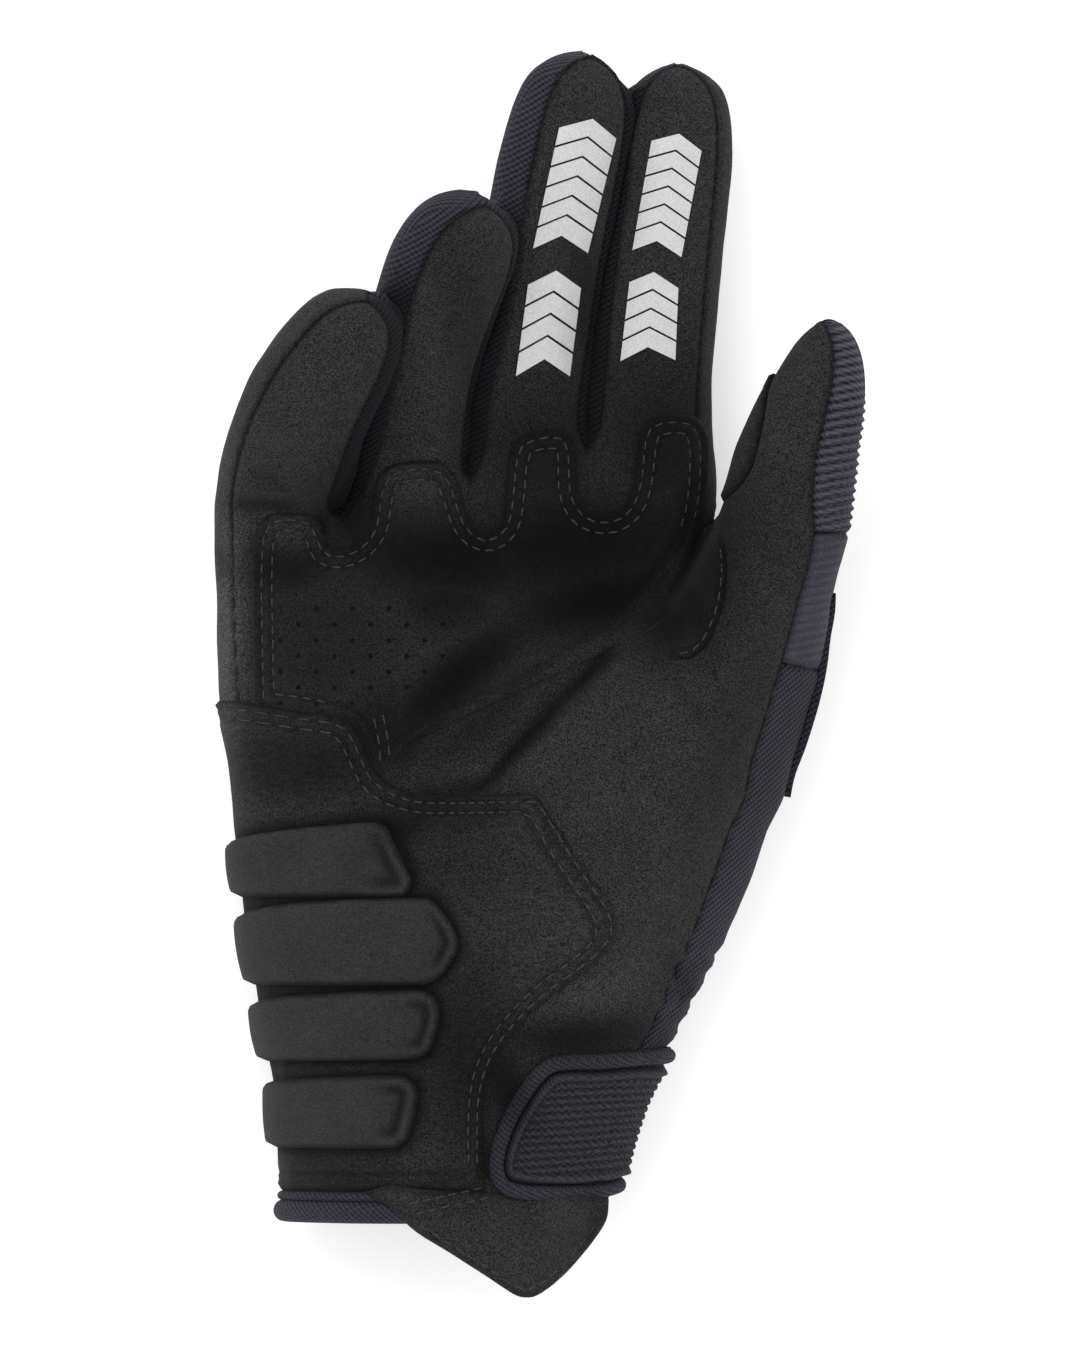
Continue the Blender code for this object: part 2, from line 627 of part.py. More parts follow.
class Skin:
    """The smooth skin: points, outward normals, faces and the panel of each face."""

    PART_ROUNDS = 8
    PART_REACH = 0.004  # fingers that press into each other do so by less than this
    PART_FACING = -0.3  # faces whose normals agree less than this face each other

    def __init__(self, cage):
        mesh = bpy.data.meshes.new("skin cage")
        mesh.from_pydata(cage.points, [], cage.faces)
        for _ in PANELS:
            mesh.materials.append(None)
        mesh.polygons.foreach_set("material_index", cage.panels)
        guide = bpy.data.objects.new("skin cage", mesh)
        bpy.context.scene.collection.objects.link(guide)
        smooth = guide.modifiers.new("Smooth", "SUBSURF")
        smooth.levels = smooth.render_levels = 1
        graph = bpy.context.evaluated_depsgraph_get()
        made = bpy.data.meshes.new_from_object(guide.evaluated_get(graph))
        self.points = np.array([v.co[:] for v in made.vertices])
        self.points[:, 2] = np.maximum(self.points[:, 2], 0.0)
        self.faces = [tuple(p.vertices) for p in made.polygons]
        self.part()
        self.panels = [p.material_index for p in made.polygons]
        bpy.data.objects.remove(guide)
        bpy.data.meshes.remove(made)
        bpy.data.meshes.remove(mesh)
        self.normals = vertex_normals(self.points, self.faces)
        self.tree = tree_of(self.outside())

    def part(self):
        """Presses fingers that touch flat against each other, with FINGER_GAP left between them."""
        for _ in range(self.PART_ROUNDS):
            tree = tree_of(self.outside())
            short = np.zeros(len(self.points))
            normals = vertex_normals(self.points, self.faces)
            for face in self.faces:
                corners = list(face)
                middle = self.points[corners].mean(axis=0)
                out = unit(face_normal(self.points, face))
                for sign in (1, -1):
                    start = middle + out * sign * SEAM_GAP / 100
                    _, way, index, away = tree.ray_cast(Vector(start), Vector(out * sign), self.PART_REACH)
                    if index is None or float(out @ np.array(way)) > self.PART_FACING:
                        continue
                    if set(corners).isdisjoint(self.faces[index]):
                        short[corners] = np.maximum(short[corners], FINGER_GAP - sign * away)
            self.points = self.points - normals * (short / 2)[:, None]
            if short.max() < SEAM_GAP / 10:
                break

    def outside(self):
        return self.points, self.faces

    def normal_at(self, place):
        """The smooth normal at a place on the skin."""
        near, _, index, _ = self.tree.find_nearest(Vector(place))
        corners = list(self.faces[index])
        away = np.linalg.norm(self.points[corners] - np.array(near), axis=1)
        return unit((self.normals[corners] / (away[:, None] + WALL / 10)).sum(axis=0))


def face_normal(points, face):
    corners = points[list(face)]
    total = np.zeros(3)
    for a, b in zip(corners, np.roll(corners, -1, axis=0)):
        total += np.cross(a - corners[0], b - corners[0])
    return total


def vertex_normals(points, faces):
    normals = np.zeros_like(points)
    for face in faces:
        normals[list(face)] += face_normal(points, face)
    return unit(normals)


def border_edges(faces):
    """Directed edges that only one face uses."""
    directed = {(a, b) for face in faces for a, b in zip(face, face[1:] + face[:1])}
    return [(a, b) for a, b in directed if (b, a) not in directed]


def wall_of(points, normals, faces, thickness):
    """A closed wall: the faces as its outer side, their copy one thickness inside, and its rim.

    The rim is split the same way on both sides of a seam, so that twisted rims don't cross.
    """
    used = sorted({v for face in faces for v in face})
    index = {v: i for i, v in enumerate(used)}
    count = len(used)
    outer = points[used]
    inner = outer - normals[used] * thickness
    made = [tuple(index[v] for v in face) for face in faces]
    made += [tuple(index[v] + count for v in reversed(face)) for face in faces]
    for a, b in sorted(border_edges(faces)):
        start, end = index[a], index[b]
        if a < b:
            made += [(end, start, end + count), (start, start + count, end + count)]
        else:
            made += [(end, start, start + count), (end, start + count, end + count)]
    return np.concatenate([outer, inner]), made


def drawn_in(points, faces, distance):
    """The points with the border of the faces moved into them, square to the border."""
    moved = points.copy()
    inward = {}
    for face in faces:
        normal = unit(face_normal(points, face))
        for a, b in zip(face, face[1:] + face[:1]):
            inward[(a, b)] = np.cross(normal, unit(points[b] - points[a]))
    at_point = {}
    for edge in sorted(border_edges(faces)):
        for v in edge:
            at_point.setdefault(v, []).append(inward[edge])
    for v, directions in at_point.items():
        middle = unit(np.sum(directions, axis=0))
        lean = max(0.5, float(np.dot(middle, unit(directions[0]))))
        moved[v] += middle * distance / lean
    return moved


def add_panels(skin):
    finishes = {
        "back_panel": KNIT,
        "thumb_back_panel": KNIT,
        "fourchette_little_ring": KNIT,
        "fourchette_ring_middle": KNIT,
        "fourchette_middle_index": KNIT,
        "thumb_side_panel": KNIT,
        "thumb_rib_panel": RIB_KNIT,
    }
    for i, name in enumerate(PANELS):
        faces = [face for face, panel in zip(skin.faces, skin.panels) if panel == i]
        points = drawn_in(skin.points, faces, SEAM_GAP / 2)
        add_object(name, *wall_of(points, skin.normals, faces, WALL), finishes.get(name, SUEDE))
    join_flat_faces("back_panel")


def join_flat_faces(name):
    """Makes one face of the faces of a piece that lie in one plane."""
    mesh = bpy.data.objects[name].data
    shape = bmesh.new()
    shape.from_mesh(mesh)
    bmesh.ops.dissolve_limit(
        shape,
        angle_limit=math.radians(FLAT_ANGLE),
        verts=shape.verts,
        edges=shape.edges,
        use_dissolve_boundaries=False,
    )
    shape.to_mesh(mesh)
    shape.free()


class Above:
    """Reads places on the skin from straight above the palm. A flat place is (x, y)."""

    def __init__(self, skin):
        self.skin = skin

    def read(self, _, across, along):
        return across * PALM_WIDTH, along * BODY_LENGTH

    def skin_place(self, flat):
        return np.array(self.skin.tree.ray_cast(Vector((*flat, 1.0)), Vector((0, 0, -1)))[0])


class Wrap:
    """Reads places on the skin from a straight middle line inside it.

    A flat place is (round, along): the distance round the line, growing towards the thumb on the palm side, and the
    distance along the line.
    """

    REACH = 0.5  # how far rays start outside the skin

    def __init__(self, start, ahead, around, skin, tree=None):
        self.start, self.ahead = np.array(start, float), unit(ahead)
        self.side = unit(np.cross(self.ahead, (0, 0, 1)))
        self.up = np.cross(self.side, self.ahead)
        self.around = around
        self.skin = skin
        self.tree = tree or skin.tree

    def flat_place(self, place):
        offset = np.array(place) - self.start
        turn = math.atan2(float(offset @ self.up), float(offset @ self.side)) - math.pi / 2
        if turn < -math.pi:
            turn += 2 * math.pi
        return -turn * self.around, float(offset @ self.ahead)

    def turned(self, degrees, along):
        """The flat place at an angle from the thumb side."""
        return -math.radians(degrees - 90) * self.around, along

    def skin_place(self, flat):
        turn = math.pi / 2 - flat[0] / self.around
        centre = self.start + self.ahead * flat[1]
        out = self.side * math.cos(turn) + self.up * math.sin(turn)
        found = self.tree.ray_cast(Vector(centre), Vector(out))[0]
        return np.array(found if found else self.tree.find_nearest(Vector(centre + out * self.around))[0])

    def read(self, where, place, along):
        """The flat place of a row of an outline."""
        y = along * BODY_LENGTH
        if where == "palm":
            begin, way = (place * PALM_WIDTH, y, self.REACH), (0, 0, -1)
        else:
            away = self.REACH if where == "thumb" else -self.REACH
            begin, way = (away, y, place * PALM_DEPTH), (-away, 0, 0)
        found = self.tree.ray_cast(Vector(begin), Vector(way))[0]
        if not found:
            raise ValueError(f"no skin under {where} {place} {along}")
        return self.flat_place(found)


def rounded(corners, step):
    """A closed outline through the corners: curved, but for its sharp corners, with points about a step apart."""
    corners = np.array(corners, float)
    before, after = np.roll(corners, 1, axis=0), np.roll(corners, -1, axis=0)
    into, out = unit(corners - before), unit(after - corners)
    sharp = np.sum(into * out, axis=1) < math.cos(math.radians(SHARP_TURN))
    spans = np.linalg.norm(after - corners, axis=1)
    reach = np.minimum(spans, np.roll(spans, 1))
    ahead = unit(into + out) * reach[:, None]
    made = []
    for i in range(len(corners)):
        j = (i + 1) % len(corners)
        straight = corners[j] - corners[i]
        first = straight if sharp[i] else ahead[i]
        last = straight if sharp[j] else ahead[j]
        count = max(1, round(spans[i] / step))
        for k in range(count):
            t = k / count
            made.append(
                (2 * t**3 - 3 * t**2 + 1) * corners[i]
                + (t**3 - 2 * t**2 + t) * first
                + (3 * t**2 - 2 * t**3) * corners[j]
                + (t**3 - t**2) * last
            )
    return np.array(made)


def counter_clockwise(outline):
    x, y = outline.T
    area = np.sum(x * np.roll(y, -1) - y * np.roll(x, -1))
    return outline if area > 0 else outline[::-1]


def distance_to_outline(point, outline):
    ends = np.roll(outline, -1, axis=0)
    way = ends - outline
    share = np.clip(np.sum((point - outline) * way, axis=1) / np.sum(way * way, axis=1), 0, 1)
    return float(np.min(np.linalg.norm(outline + way * share[:, None] - point, axis=1)))


def inside(point, outline):
    x, y = point
    a, b = outline, np.roll(outline, -1, axis=0)
    crosses = (a[:, 1] > y) != (b[:, 1] > y)
    rise = np.where(crosses, b[:, 1] - a[:, 1], 1.0)
    at = a[:, 0] + (y - a[:, 1]) * (b[:, 0] - a[:, 0]) / rise
    return bool(np.count_nonzero(crosses & (x < at)) % 2)


def filled(outline, step):
    """Triangles inside an outline, with points on a staggered grid inside it."""
    low, high = outline.min(axis=0), outline.max(axis=0)
    points = [tuple(p) for p in outline]
    row_step = step * math.sqrt(3) / 2
    for row in range(1, int((high[1] - low[1]) / row_step) + 1):
        y = low[1] + row * row_step
        x = low[0] + (row % 2) * step / 2
        while x < high[0]:
            if inside((x, y), outline) and distance_to_outline(np.array((x, y)), outline) > INNER_SPACE * step:
                points.append((x, y))
            x += step
    edges = [(i, (i + 1) % len(outline)) for i in range(len(outline))]
    made, _, faces, _, _, _ = delaunay_2d_cdt([Vector(p) for p in points], edges, [], 0, 1e-9, False)
    made = np.array([tuple(p) for p in made])
    kept = []
    for face in faces:
        a, b, c = made[list(face)]
        doubled_area = abs((b[0] - a[0]) * (c[1] - a[1]) - (b[1] - a[1]) * (c[0] - a[0]))
        if doubled_area > THINNEST * step**2 and inside((a + b + c) / 3, outline):
            kept.append(tuple(face))
    return made, kept


def joined(*surfaces):
    points, faces, start = [], [], 0
    for some_points, some_faces in surfaces:
        points.append(some_points)
        faces += [tuple(v + start for v in face) for face in some_faces]
        start += len(some_points)
    return np.concatenate(points), faces


def tree_of(surface):
    points, faces = surface
    return BVHTree.FromPolygons([Vector(p) for p in points], faces)


def clear_lift(points, normals, faces, lift, under, gap):
    """How far each point has to stand off so that the whole piece clears what is under it."""
    tree = tree_of(under)
    lift = lift.copy()
    grid = [(a / 4, b / 4) for a in range(5) for b in range(5 - a)]
    shares = [np.array((1 - u - v, u, v)) for u, v in grid]
    corners = [list(face[:3]) for face in faces] + [[face[0], face[2], face[3]] for face in faces if len(face) == 4]
    for _ in range(12):
        low = points + normals * lift[:, None]
        more = np.zeros(len(points))
        for corner in corners:
            for share in shares:
                place = share @ low[corner]
                near, way, _, _ = tree.find_nearest(Vector(place))
                short = gap - float((place - np.array(near)) @ np.array(way))
                if short > 0:
                    more[corner] = np.maximum(more[corner], short * share / float(share @ share))
        lift += more
        if more.max() < 1e-5:
            break
    return lift


def lay(name, flat, faces, wrap, under, thickness, finish, rim=1.0, height=0.0):
    """Lays a flat mesh on the skin as a closed piece, and returns its upper side."""
    points = np.array([wrap.skin_place(place) for place in flat])
    normals = np.array([wrap.skin.normal_at(point) for point in points])
    lift = clear_lift(points, normals, faces, np.full(len(points), LAY_GAP + height), under, LAY_GAP)
    thick = np.full(len(points), thickness)
    for edge in border_edges(faces):
        thick[list(edge)] = thickness * rim
    low = points + normals * lift[:, None]
    high = low + normals * thick[:, None]
    count = len(points)
    made = list(faces) + [tuple(v + count for v in reversed(face)) for face in faces]
    for a, b in sorted(border_edges(faces)):
        made.append((b, a, a + count, b + count))
    add_object(name, np.concatenate([high, low]), made, finish)
    return high, list(faces)


def apron(skin):
    """The cuff carried on below its edge, where the tab hangs."""
    edges = border_edges(skin.faces)
    used = sorted({v for edge in edges for v in edge})
    low = skin.points[used] + np.array((0.0, -2 * TAB_LENGTH, 0.0))
    index = {v: i + len(used) for i, v in enumerate(used)}
    place = {v: i for i, v in enumerate(used)}
    faces = [(place[b], place[a], index[a], index[b]) for a, b in edges]
    return np.concatenate([skin.points[used], low]), faces


def add_palm_pieces(skin, hand_wrap, thumb_wrap):
    """Lays the patches and the foam pads."""
    outside = skin.outside()

    def outlined(rows, wrap=hand_wrap, step=MESH_STEP):
        return counter_clockwise(rounded([wrap.read(*row) for row in rows], step))

    above = Above(skin)
    flat, faces = filled(outlined(PALM_PATCH, above), MESH_STEP)
    lay("palm_patch", flat, faces, above, outside, PATCH_THICKNESS, PATCH_SUEDE)
    flat, faces = filled(outlined(HEEL_PATCH), MESH_STEP)
    heel = lay("heel_patch", flat, faces, hand_wrap, outside, PATCH_THICKNESS, SUEDE)
    heel_under = joined(outside, heel)
    for i, row in enumerate(HEEL_PADS, start=1):
        side_top, side_low, top_x, top_y, nose_x, nose_y, low_x, low_y = row
        corners = (
            ("ulnar", PAD_LOW, side_top),
            ("palm", top_x, top_y),
            ("palm", nose_x, nose_y),
            ("palm", low_x, low_y),
            ("ulnar", PAD_LOW, side_low),
        )
        flat, faces = filled(outlined(corners), MESH_STEP)
        height = PATCH_THICKNESS + LAY_GAP
        lay(f"heel_pad_{i}", flat, faces, hand_wrap, heel_under, PAD_THICKNESS, PAD_SUEDE, PAD_RIM, height)
    flat, faces = filled(outlined(WEB_PATCH, thumb_wrap, FINE_STEP), FINE_STEP)
    lay("web_patch", flat, faces, thumb_wrap, outside, PATCH_THICKNESS, PATCH_SUEDE)
    corners = [thumb_wrap.turned(turn, along * THUMB_LENGTH) for turn, along in THUMB_PATCH]
    flat, faces = filled(counter_clockwise(rounded(corners, FINE_STEP)), FINE_STEP)
    lay("thumb_patch", flat, faces, thumb_wrap, outside, PATCH_THICKNESS, SUEDE)
    flat, faces = filled(outlined(BACK_GUARD, thumb_wrap, FINE_STEP), FINE_STEP)
    lay("back_guard", flat, faces, thumb_wrap, outside, GUARD_THICKNESS, KNIT)


def add_strap(skin, wrap):
    """The strap and the knit binding round it."""
    outline = counter_clockwise(rounded([wrap.read(*row) for row in STRAP], MESH_STEP))
    ahead = unit(np.roll(outline, -1, axis=0) - np.roll(outline, 1, axis=0))
    inward = np.stack([-ahead[:, 1], ahead[:, 0]], axis=1)
    inner = outline + inward * BINDING_WIDTH
    count = len(outline)
    ring = [(i, (i + 1) % count, (i + 1) % count + count, i + count) for i in range(count)]
    lay("strap_binding", np.concatenate([outline, inner]), ring, wrap, skin.outside(), BINDING_THICKNESS, BINDING_KNIT)
    middle = outline + inward * (BINDING_WIDTH + SEAM_GAP)
    flat, faces = filled(middle, MESH_STEP)
    lay("wrist_strap", flat, faces, wrap, skin.outside(), STRAP_THICKNESS, STRAP_WEAVE)


def add_cuff(skin, wrap):
    """The tab that carries the cuff on below its edge, and the knit roll along the rest of that edge."""
    hanging = Wrap(wrap.start, wrap.ahead, wrap.around, skin, tree_of(joined(skin.outside(), apron(skin))))
    corners = []
    for across, reach in CUFF_TAB:
        corners.append(hanging.read("palm", across, -reach * TAB_LENGTH / BODY_LENGTH))
    outline = counter_clockwise(rounded(corners, MESH_STEP))
    flat, faces = filled(outline, MESH_STEP)
    points = np.array([hanging.skin_place(place) for place in flat])
    made = wall_of(points, vertex_normals(points, faces), faces, TAB_THICKNESS)
    add_object("cuff_tab", *made, SUEDE)

    clear = SEAM_GAP + CUFF_ROLL_THICKNESS / 2
    begin = outline[:, 0].min() - clear
    end = outline[:, 0].max() + clear - 2 * math.pi * wrap.around
    steps = CUFF_STEPS
    centres, outs = [], []
    for i in range(steps + 1):
        place = (between(begin, end, i / steps), -SEAM_GAP - CUFF_ROLL_HEIGHT / 2)
        centres.append(hanging.skin_place(place))
    centres = np.array(centres)
    for i, centre in enumerate(centres):
        along = unit(centres[min(i + 1, steps)] - centres[max(i - 1, 0)])
        outs.append(unit(np.cross(wrap.ahead, along)))
    points, sides = [], ROLL_SIDES
    for centre, out in zip(centres, outs):
        middle = centre - out * WALL / 2
        for k in range(sides):
            turn = 2 * math.pi * k / sides
            points.append(
                middle
                + out * math.cos(turn) * CUFF_ROLL_THICKNESS / 2
                + wrap.ahead * math.sin(turn) * CUFF_ROLL_HEIGHT / 2
            )
    faces = [tuple(reversed(range(sides))), tuple(steps * sides + k for k in range(sides))]
    for i in range(steps):
        for k in range(sides):
            j = (k + 1) % sides
            faces.append((i * sides + k, i * sides + j, (i + 1) * sides + j, (i + 1) * sides + k))
    add_object("cuff_binding", points, faces, BINDING_KNIT)


def add_chevrons(skin, fingers):
    """Rows of chevrons on the faces of the middle and index fingers."""
    above = Above(skin)
    by_name = dict(zip(("little", "ring", "middle", "index", "thumb"), fingers))
    for finger_name, group, along, aside, heading, count, width_share, pitch_share in CHEVRON_GROUPS:
        finger = by_name[finger_name]
        pitch, half = CHEVRON_PITCH * pitch_share, CHEVRON_HALF_WIDTH * width_share
        angle = math.radians(heading)
        ahead, right = np.array((math.sin(angle), math.cos(angle))), np.array((math.cos(angle), -math.sin(angle)))
        first = finger.plan_place(along) + right * aside * finger.width
        for i in range(count):
            apex = first - ahead * pitch * i
            points = []
            for edge in (0.0, CHEVRON_GAP - pitch):
                for column in CHEVRON_COLUMNS:
                    flat = apex + right * column * half + ahead * (edge - abs(column) * CHEVRON_POINT)
                    points.append(above.skin_place(flat))
            last = len(CHEVRON_COLUMNS)
            faces = [(k + last, k + last + 1, k + 1, k) for k in range(last - 1)]
            points = np.array(points)
            normals = np.array([skin.normal_at(point) for point in points])
            lift = clear_lift(points, normals, faces, np.full(len(points), LAY_GAP), skin.outside(), LAY_GAP)
            high = points + normals * (lift[:, None] + CHEVRON_THICKNESS)
            made = wall_of(high, normals, faces, CHEVRON_THICKNESS)
            add_object(f"chevron_{finger_name}_{group}_{i + 1}", *made, REFLECTIVE)


def stand_on_origin():
    """Moves every piece so that the origin lies under the middle of the glove's box."""
    meshes = [obj.data for obj in bpy.data.objects if obj.type == "MESH"]
    corners = np.array([v.co[:] for mesh in meshes for v in mesh.vertices])
    low, high = corners.min(axis=0), corners.max(axis=0)
    shift = Matrix.Translation((-(low[0] + high[0]) / 2, -(low[1] + high[1]) / 2, -low[2]))
    for mesh in meshes:
        mesh.transform(shift)


def main():
    for old in list(bpy.data.objects):
        bpy.data.objects.remove(old)
    cage, fingers = hand_cage()
    skin = Skin(cage)
    add_panels(skin)
    hand_wrap = Wrap((0, 0, MIDDLE_HEIGHT * PALM_DEPTH), (0, 1, 0), MIDDLE_REACH * PALM_DEPTH, skin)
    thumb = fingers[-1]
    thumb_wrap = Wrap(thumb.centres[0], thumb.centres[-1] - thumb.centres[0], 0.5 * THUMB_WIDTH, skin)
    add_palm_pieces(skin, hand_wrap, thumb_wrap)
    add_strap(skin, hand_wrap)
    add_cuff(skin, hand_wrap)
    add_chevrons(skin, fingers)
    stand_on_origin()


main()
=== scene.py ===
"""A right-hand motorcycle glove that lies palm up, dressed for rendering.

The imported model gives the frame: the sewn panels are refined into smooth cloth and suede walls, and the patches, pads,
strap, bindings, chevrons and stitches are laid on them. Lengths are in metres, except where a table says otherwise.
"""

import math

import bmesh
import bpy
import numpy as np
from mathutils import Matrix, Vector, noise
from mathutils.bvhtree import BVHTree
from mathutils.geometry import delaunay_2d_cdt
from mathutils.kdtree import KDTree


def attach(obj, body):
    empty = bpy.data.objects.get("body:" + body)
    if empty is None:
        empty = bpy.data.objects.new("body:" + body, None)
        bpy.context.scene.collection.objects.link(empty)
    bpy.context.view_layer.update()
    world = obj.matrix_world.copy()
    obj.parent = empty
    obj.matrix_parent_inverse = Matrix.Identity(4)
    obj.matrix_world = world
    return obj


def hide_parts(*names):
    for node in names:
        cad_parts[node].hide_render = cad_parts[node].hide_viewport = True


bl_info = {
    "name": "Motorcycle glove",
    "version": (1, 0, 0),
    "blender": (4, 5, 0),
    "location": "View3D > Sidebar > Glove",
    "description": "Dresses a sewn motorcycle glove with suede, knit, pads, stitches and a wrist strap",
    "category": "Add Mesh",
}

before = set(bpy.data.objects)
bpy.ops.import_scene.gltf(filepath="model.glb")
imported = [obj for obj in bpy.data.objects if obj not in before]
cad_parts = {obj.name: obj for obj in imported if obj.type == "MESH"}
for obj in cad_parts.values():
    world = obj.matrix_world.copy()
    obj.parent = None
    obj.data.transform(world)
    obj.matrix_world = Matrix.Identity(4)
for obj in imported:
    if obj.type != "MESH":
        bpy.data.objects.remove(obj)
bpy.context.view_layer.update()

PIXEL = 0.0002  # width of one pixel of the 1080 by 1350 photograph at the glove
MIDDLE_PIXEL = (541.3, 671.3)  # the pixel over the frame's origin
HAND_AXIS = (-0.0154, 0.016)  # x and z of the middle line of the hand
HAND_RADIUS = 0.030  # distance from that line at which flat places are measured
THUMB_AXIS = ((0.0405, 0.0111, 0.0173), (0.0579, 0.0739, 0.0353))
THUMB_RADIUS = 0.0125
FAR = 0.5  # rays start this far out
# Pieces whose sides swell where two fingers touch
TOUCHING = ("palm_suede", "little_ring_knit", "ring_middle_knit", "middle_index_knit", "back_knit")
TOUCH_REACH = (0.0045, 0.0075)  # fingers nearer than the first swell until they touch, those past the second stay
TOUCH_PRESS = 0.00025  # how far touching fingers sink into each other
FINGER_START = 0.030  # y from which pieces belong to fingers
SEAM_CLOSING = 0.00022  # how far a panel's edge reaches into the gap of its seam
SEAM_WIDTH = 0.0013  # half width of the valley at a seam
GUARD_INSET = 0.0015  # how far the guard is moved in from its packed place
RIB_ROWS = (0.0275, 0.030, 0.052, 0.056)  # where the thumb's ribs start and end along the hand
RIB_PITCH = 0.00170
RIB_HEIGHT = 0.00030
RIB_SLANT = 0.20
SHORT_RUN = 3  # a run of stitches has more points than this
CORNER = math.radians(42)  # borders that turn by more than this keep their corner
SHARP = math.radians(55)  # faces that meet at more than this angle belong to different sides of a wall

# Panels of the shell: CAD node, name of the sewn piece, finish, times that its faces are split
SHELL = (
    ("palm_panel", "palm_suede", "suede", 3),
    ("thumb_panel", "thumb_suede", "suede", 3),
    ("ulnar_panel", "ulnar_suede", "suede", 2),
    ("index_side_panel", "index_side_suede", "suede", 2),
    ("back_panel", "back_knit", "twill_knit", 2),
    ("thumb_back_panel", "thumb_back_knit", "twill_knit", 2),
    ("fourchette_little_ring", "little_ring_knit", "twill_knit", 2),
    ("fourchette_ring_middle", "ring_middle_knit", "twill_knit", 2),
    ("fourchette_middle_index", "middle_index_knit", "twill_knit", 2),
    ("thumb_side_panel", "thumb_side_knit", "twill_knit", 3),
    ("thumb_rib_panel", "thumb_rib_knit", "rib_knit", 4),
)

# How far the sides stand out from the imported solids: pixel row, towards the little finger, towards the thumb, in pixels
SIDE_SHIFTS = (
    (400, 0, 0), (450, 4, 0), (500, 6, 5), (530, 6, 9), (560, 6, 7), (600, 6, 2), (660, 7, 0), (700, 9, 0),
    (760, 8, 0), (800, 10, 5), (830, 13, 0), (900, 13, 1), (960, 13, 3), (1000, 14, 6), (1040, 14, 9),
    (1100, 14, 7), (1140, 13, 9), (1180, 12, 10), (1210, 12, 10),
)

# Knit strips: the pixel rows between which they pass into the shade between two fingers
SHADED_KNIT = {
    "fourchette_little_ring": (262, 300),
    "fourchette_ring_middle": (190, 235),
    "fourchette_middle_index": (60, 100),
}

# Panels that run on into each other without a groove
FLUSH = ({"palm_panel", "thumb_panel"}, {"thumb_panel", "ulnar_panel"})

# Folds: depth and half width in millimetres, then the pixels that the fold runs through
FOLDS = (
    (1.9, 4.2, ((372, 776), (400, 744), (440, 704), (490, 664), (545, 632), (600, 610), (650, 598))),
    (1.3, 1.6, ((430, 793), (486, 784), (513, 751), (543, 720), (578, 686), (608, 655), (640, 632))),
    (0.5, 0.9, ((585, 668), (605, 655), (628, 640))),
    (1.2, 1.9, ((716, 536), (706, 556), (690, 578), (668, 600), (652, 606))),
    (1.5, 1.7, ((224, 497), (245, 502), (275, 505), (300, 508), (318, 512))),
    (1.0, 1.5, ((318, 512), (323, 524), (325, 542))),
    (0.6, 1.4, ((412, 784), (428, 790), (445, 795))),
    (0.7, 1.6, ((222, 540), (228, 556), (238, 582))),
    (0.4, 1.2, ((662, 655), (680, 690), (700, 718), (718, 742))),
    (0.5, 2.2, ((395, 448), (402, 462), (420, 470), (452, 470))),
    (0.5, 1.8, ((248, 470), (275, 482), (305, 487))),
    (-0.9, 3.0, ((405, 783), (455, 764), (492, 738), (526, 704), (568, 670), (608, 642))),
    (-0.5, 3.0, ((455, 815), (510, 775), (560, 735), (610, 690))),
)
# Shaded places: the pixel at the middle, reach across and along in pixels, turn in degrees, strength
SHADES = (
    (575, 545, 185, 80, 6, 1.0),
    (450, 560, 140, 56, -4, 1.0),
    (600, 596, 130, 50, 14, 1.0),
    (665, 620, 45, 45, 25, 1.0),
    (455, 680, 120, 34, 40, 1.0),
    (300, 672, 50, 14, -22, 0.6),
    (735, 720, 34, 110, -14, 0.35),
    (700, 545, 50, 110, 8, 0.95),
    (688, 600, 34, 70, 20, 0.95),
    (550, 455, 80, 90, 0, 0.78),
    (655, 440, 75, 95, 0, 0.82),
    (352, 520, 40, 50, 0, 0.9),
    (290, 568, 60, 34, 0, 0.85),
    (330, 640, 90, 80, 0, 0.62),
    (775, 760, 30, 110, -20, 0.3),
    (448, 600, 70, 44, 0, 0.85),
    (640, 598, 60, 40, 0, 0.85),
    (480, 726, 110, 26, 42, 0.72),
    (555, 690, 80, 22, 43, 0.5),
    (385, 730, 60, 60, 0, 0.8),
    (310, 765, 100, 44, 0, 0.85),
    (430, 810, 90, 34, 0, 0.75),
    (450, 860, 90, 70, 0, 0.4),
    (470, 1060, 60, 110, 0, 0.85),
    (580, 1036, 90, 24, 4, 0.98),
    (504, 1082, 30, 60, 20, 0.98),
    (482, 1150, 14, 50, 0, 0.8),
    (450, 1160, 40, 60, 0, 0.4),
    (330, 1170, 90, 20, 0, 0.55),
    (460, 300, 30, 90, 10, 0.3),
    (590, 330, 20, 120, 8, 0.6),
    (685, 985, 14, 24, 10, 0.9),
    (528, 740, 60, 9, 46, 0.8),
    (592, 672, 44, 9, 42, 0.8),
    (402, 826, 60, 26, 24, 0.9),
)
# Lit places, in the same columns
LIGHTS = (
    (290, 536, 24, 20, 0, 0.7),
    (412, 486, 36, 22, 0, 0.5),
    (452, 764, 50, 11, 26, 0.2),
    (534, 702, 60, 10, 43, 0.15),
    (350, 645, 70, 34, 0, 0.12),
    (228, 620, 16, 120, 0, 1.5),
    (600, 990, 50, 26, 35, 0.3),
    (420, 350, 30, 90, 8, 0.25),
)

